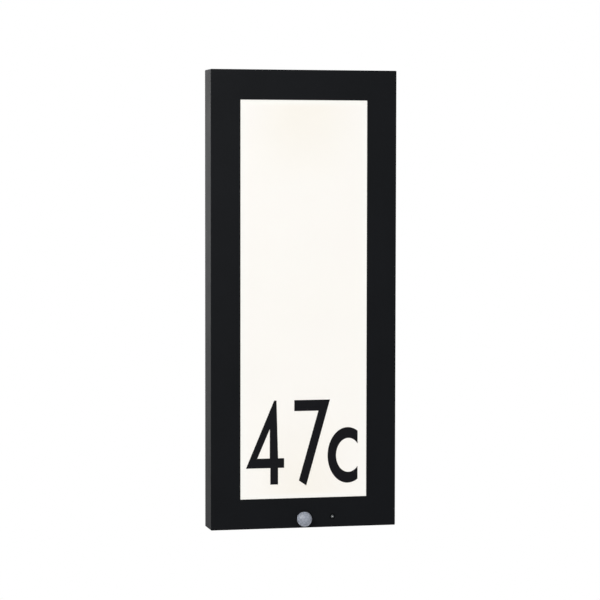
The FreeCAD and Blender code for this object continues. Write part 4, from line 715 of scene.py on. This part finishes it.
white = put(tree, "Emission", {"Color": (1, 1, 1, 1), "Strength": 1.0}).outputs[0]
from_middle = put(tree, "VectorMath", {0: place}, operation="LENGTH").outputs["Value"]
far = spread(tree, from_middle, SHADOW_REACH, WHITE_FROM, LEAST_WHITE, 1.0, smooth=True)
share = sums(tree, "MULTIPLY", far, sees_white(tree))
both = put(tree, "MixShader", {0: share, 1: shader.outputs[0], 2: white}).outputs[0]
tree.links.new(both, tree.nodes["Material Output"].inputs["Surface"])
floor_mesh.materials.append(paint)
print("floor at", FLOOR_LEVEL, "m")

# %% [markdown]
# The background is white for the camera, in mirrored light and through clear pieces, just as the far floor
# is. The diffuse light that it gives is a plain even grey, so that the white doesn't flood the sign.

# %% World
ROOM_LEVEL = 0.36
world = bpy.data.worlds.new("studio")
bpy.context.scene.world = world
world.use_nodes = True
tree = world.node_tree
background = tree.nodes["Background"]
strength = put(tree, "Mix", {0: sees_white(tree), 2: ROOM_LEVEL, 3: 1.0}).outputs[0]
tree.links.new(strength, background.inputs["Strength"])
background.inputs["Color"].default_value = (1, 1, 1, 1)
print("diffuse light of the room:", ROOM_LEVEL)


# %% [markdown]
# Five soft lamps do the work of a small studio: a main one high on the left, a weaker one on the right, one
# behind on the left that grazes the sign's left side and is brightest at its top, one behind for the back of
# the sign, and one on the far right for its right side. A lit white card close on the upper left shows only
# in gloss and makes the face a little lighter there. At their level a colour looks about as it is written.

# %% Lamps
def lamp(name, spot, target, size, power):
    """A square soft lamp of that size in metres, turned to its target, that no camera sees."""
    data = bpy.data.lights.new(name, "AREA")
    data.shape, data.size, data.energy = "SQUARE", size, power
    made = bpy.data.objects.new(name, data)
    made.location = spot
    made.rotation_euler = (Vector(target) - Vector(spot)).to_track_quat("-Z", "Y").to_euler()
    made.visible_camera = False
    bpy.context.scene.collection.objects.link(made)
    return made


lamp("main_lamp", (-1.9, -2.0, 1.7), (0, 0, 0), 1.4, 62.0)
lamp("side_lamp", (2.1, -1.8, 0.5), (0, 0, 0), 1.4, 9.0)
lamp("edge_lamp", (-0.55, 0.75, 0.19), (-0.08, 0, 0.10), 0.5, 2.6)
lamp("rear_lamp", (0.9, 2.4, 1.6), (0, 0, 0), 2.8, 30.0)
lamp("right_lamp", (2.2, 0.7, 0.9), (0, 0, 0), 1.4, 40.0)
card = lamp("white_card", (-0.62, -0.42, 0.40), (0, 0, 0.0), 0.35, 22.0)
card.visible_diffuse = False
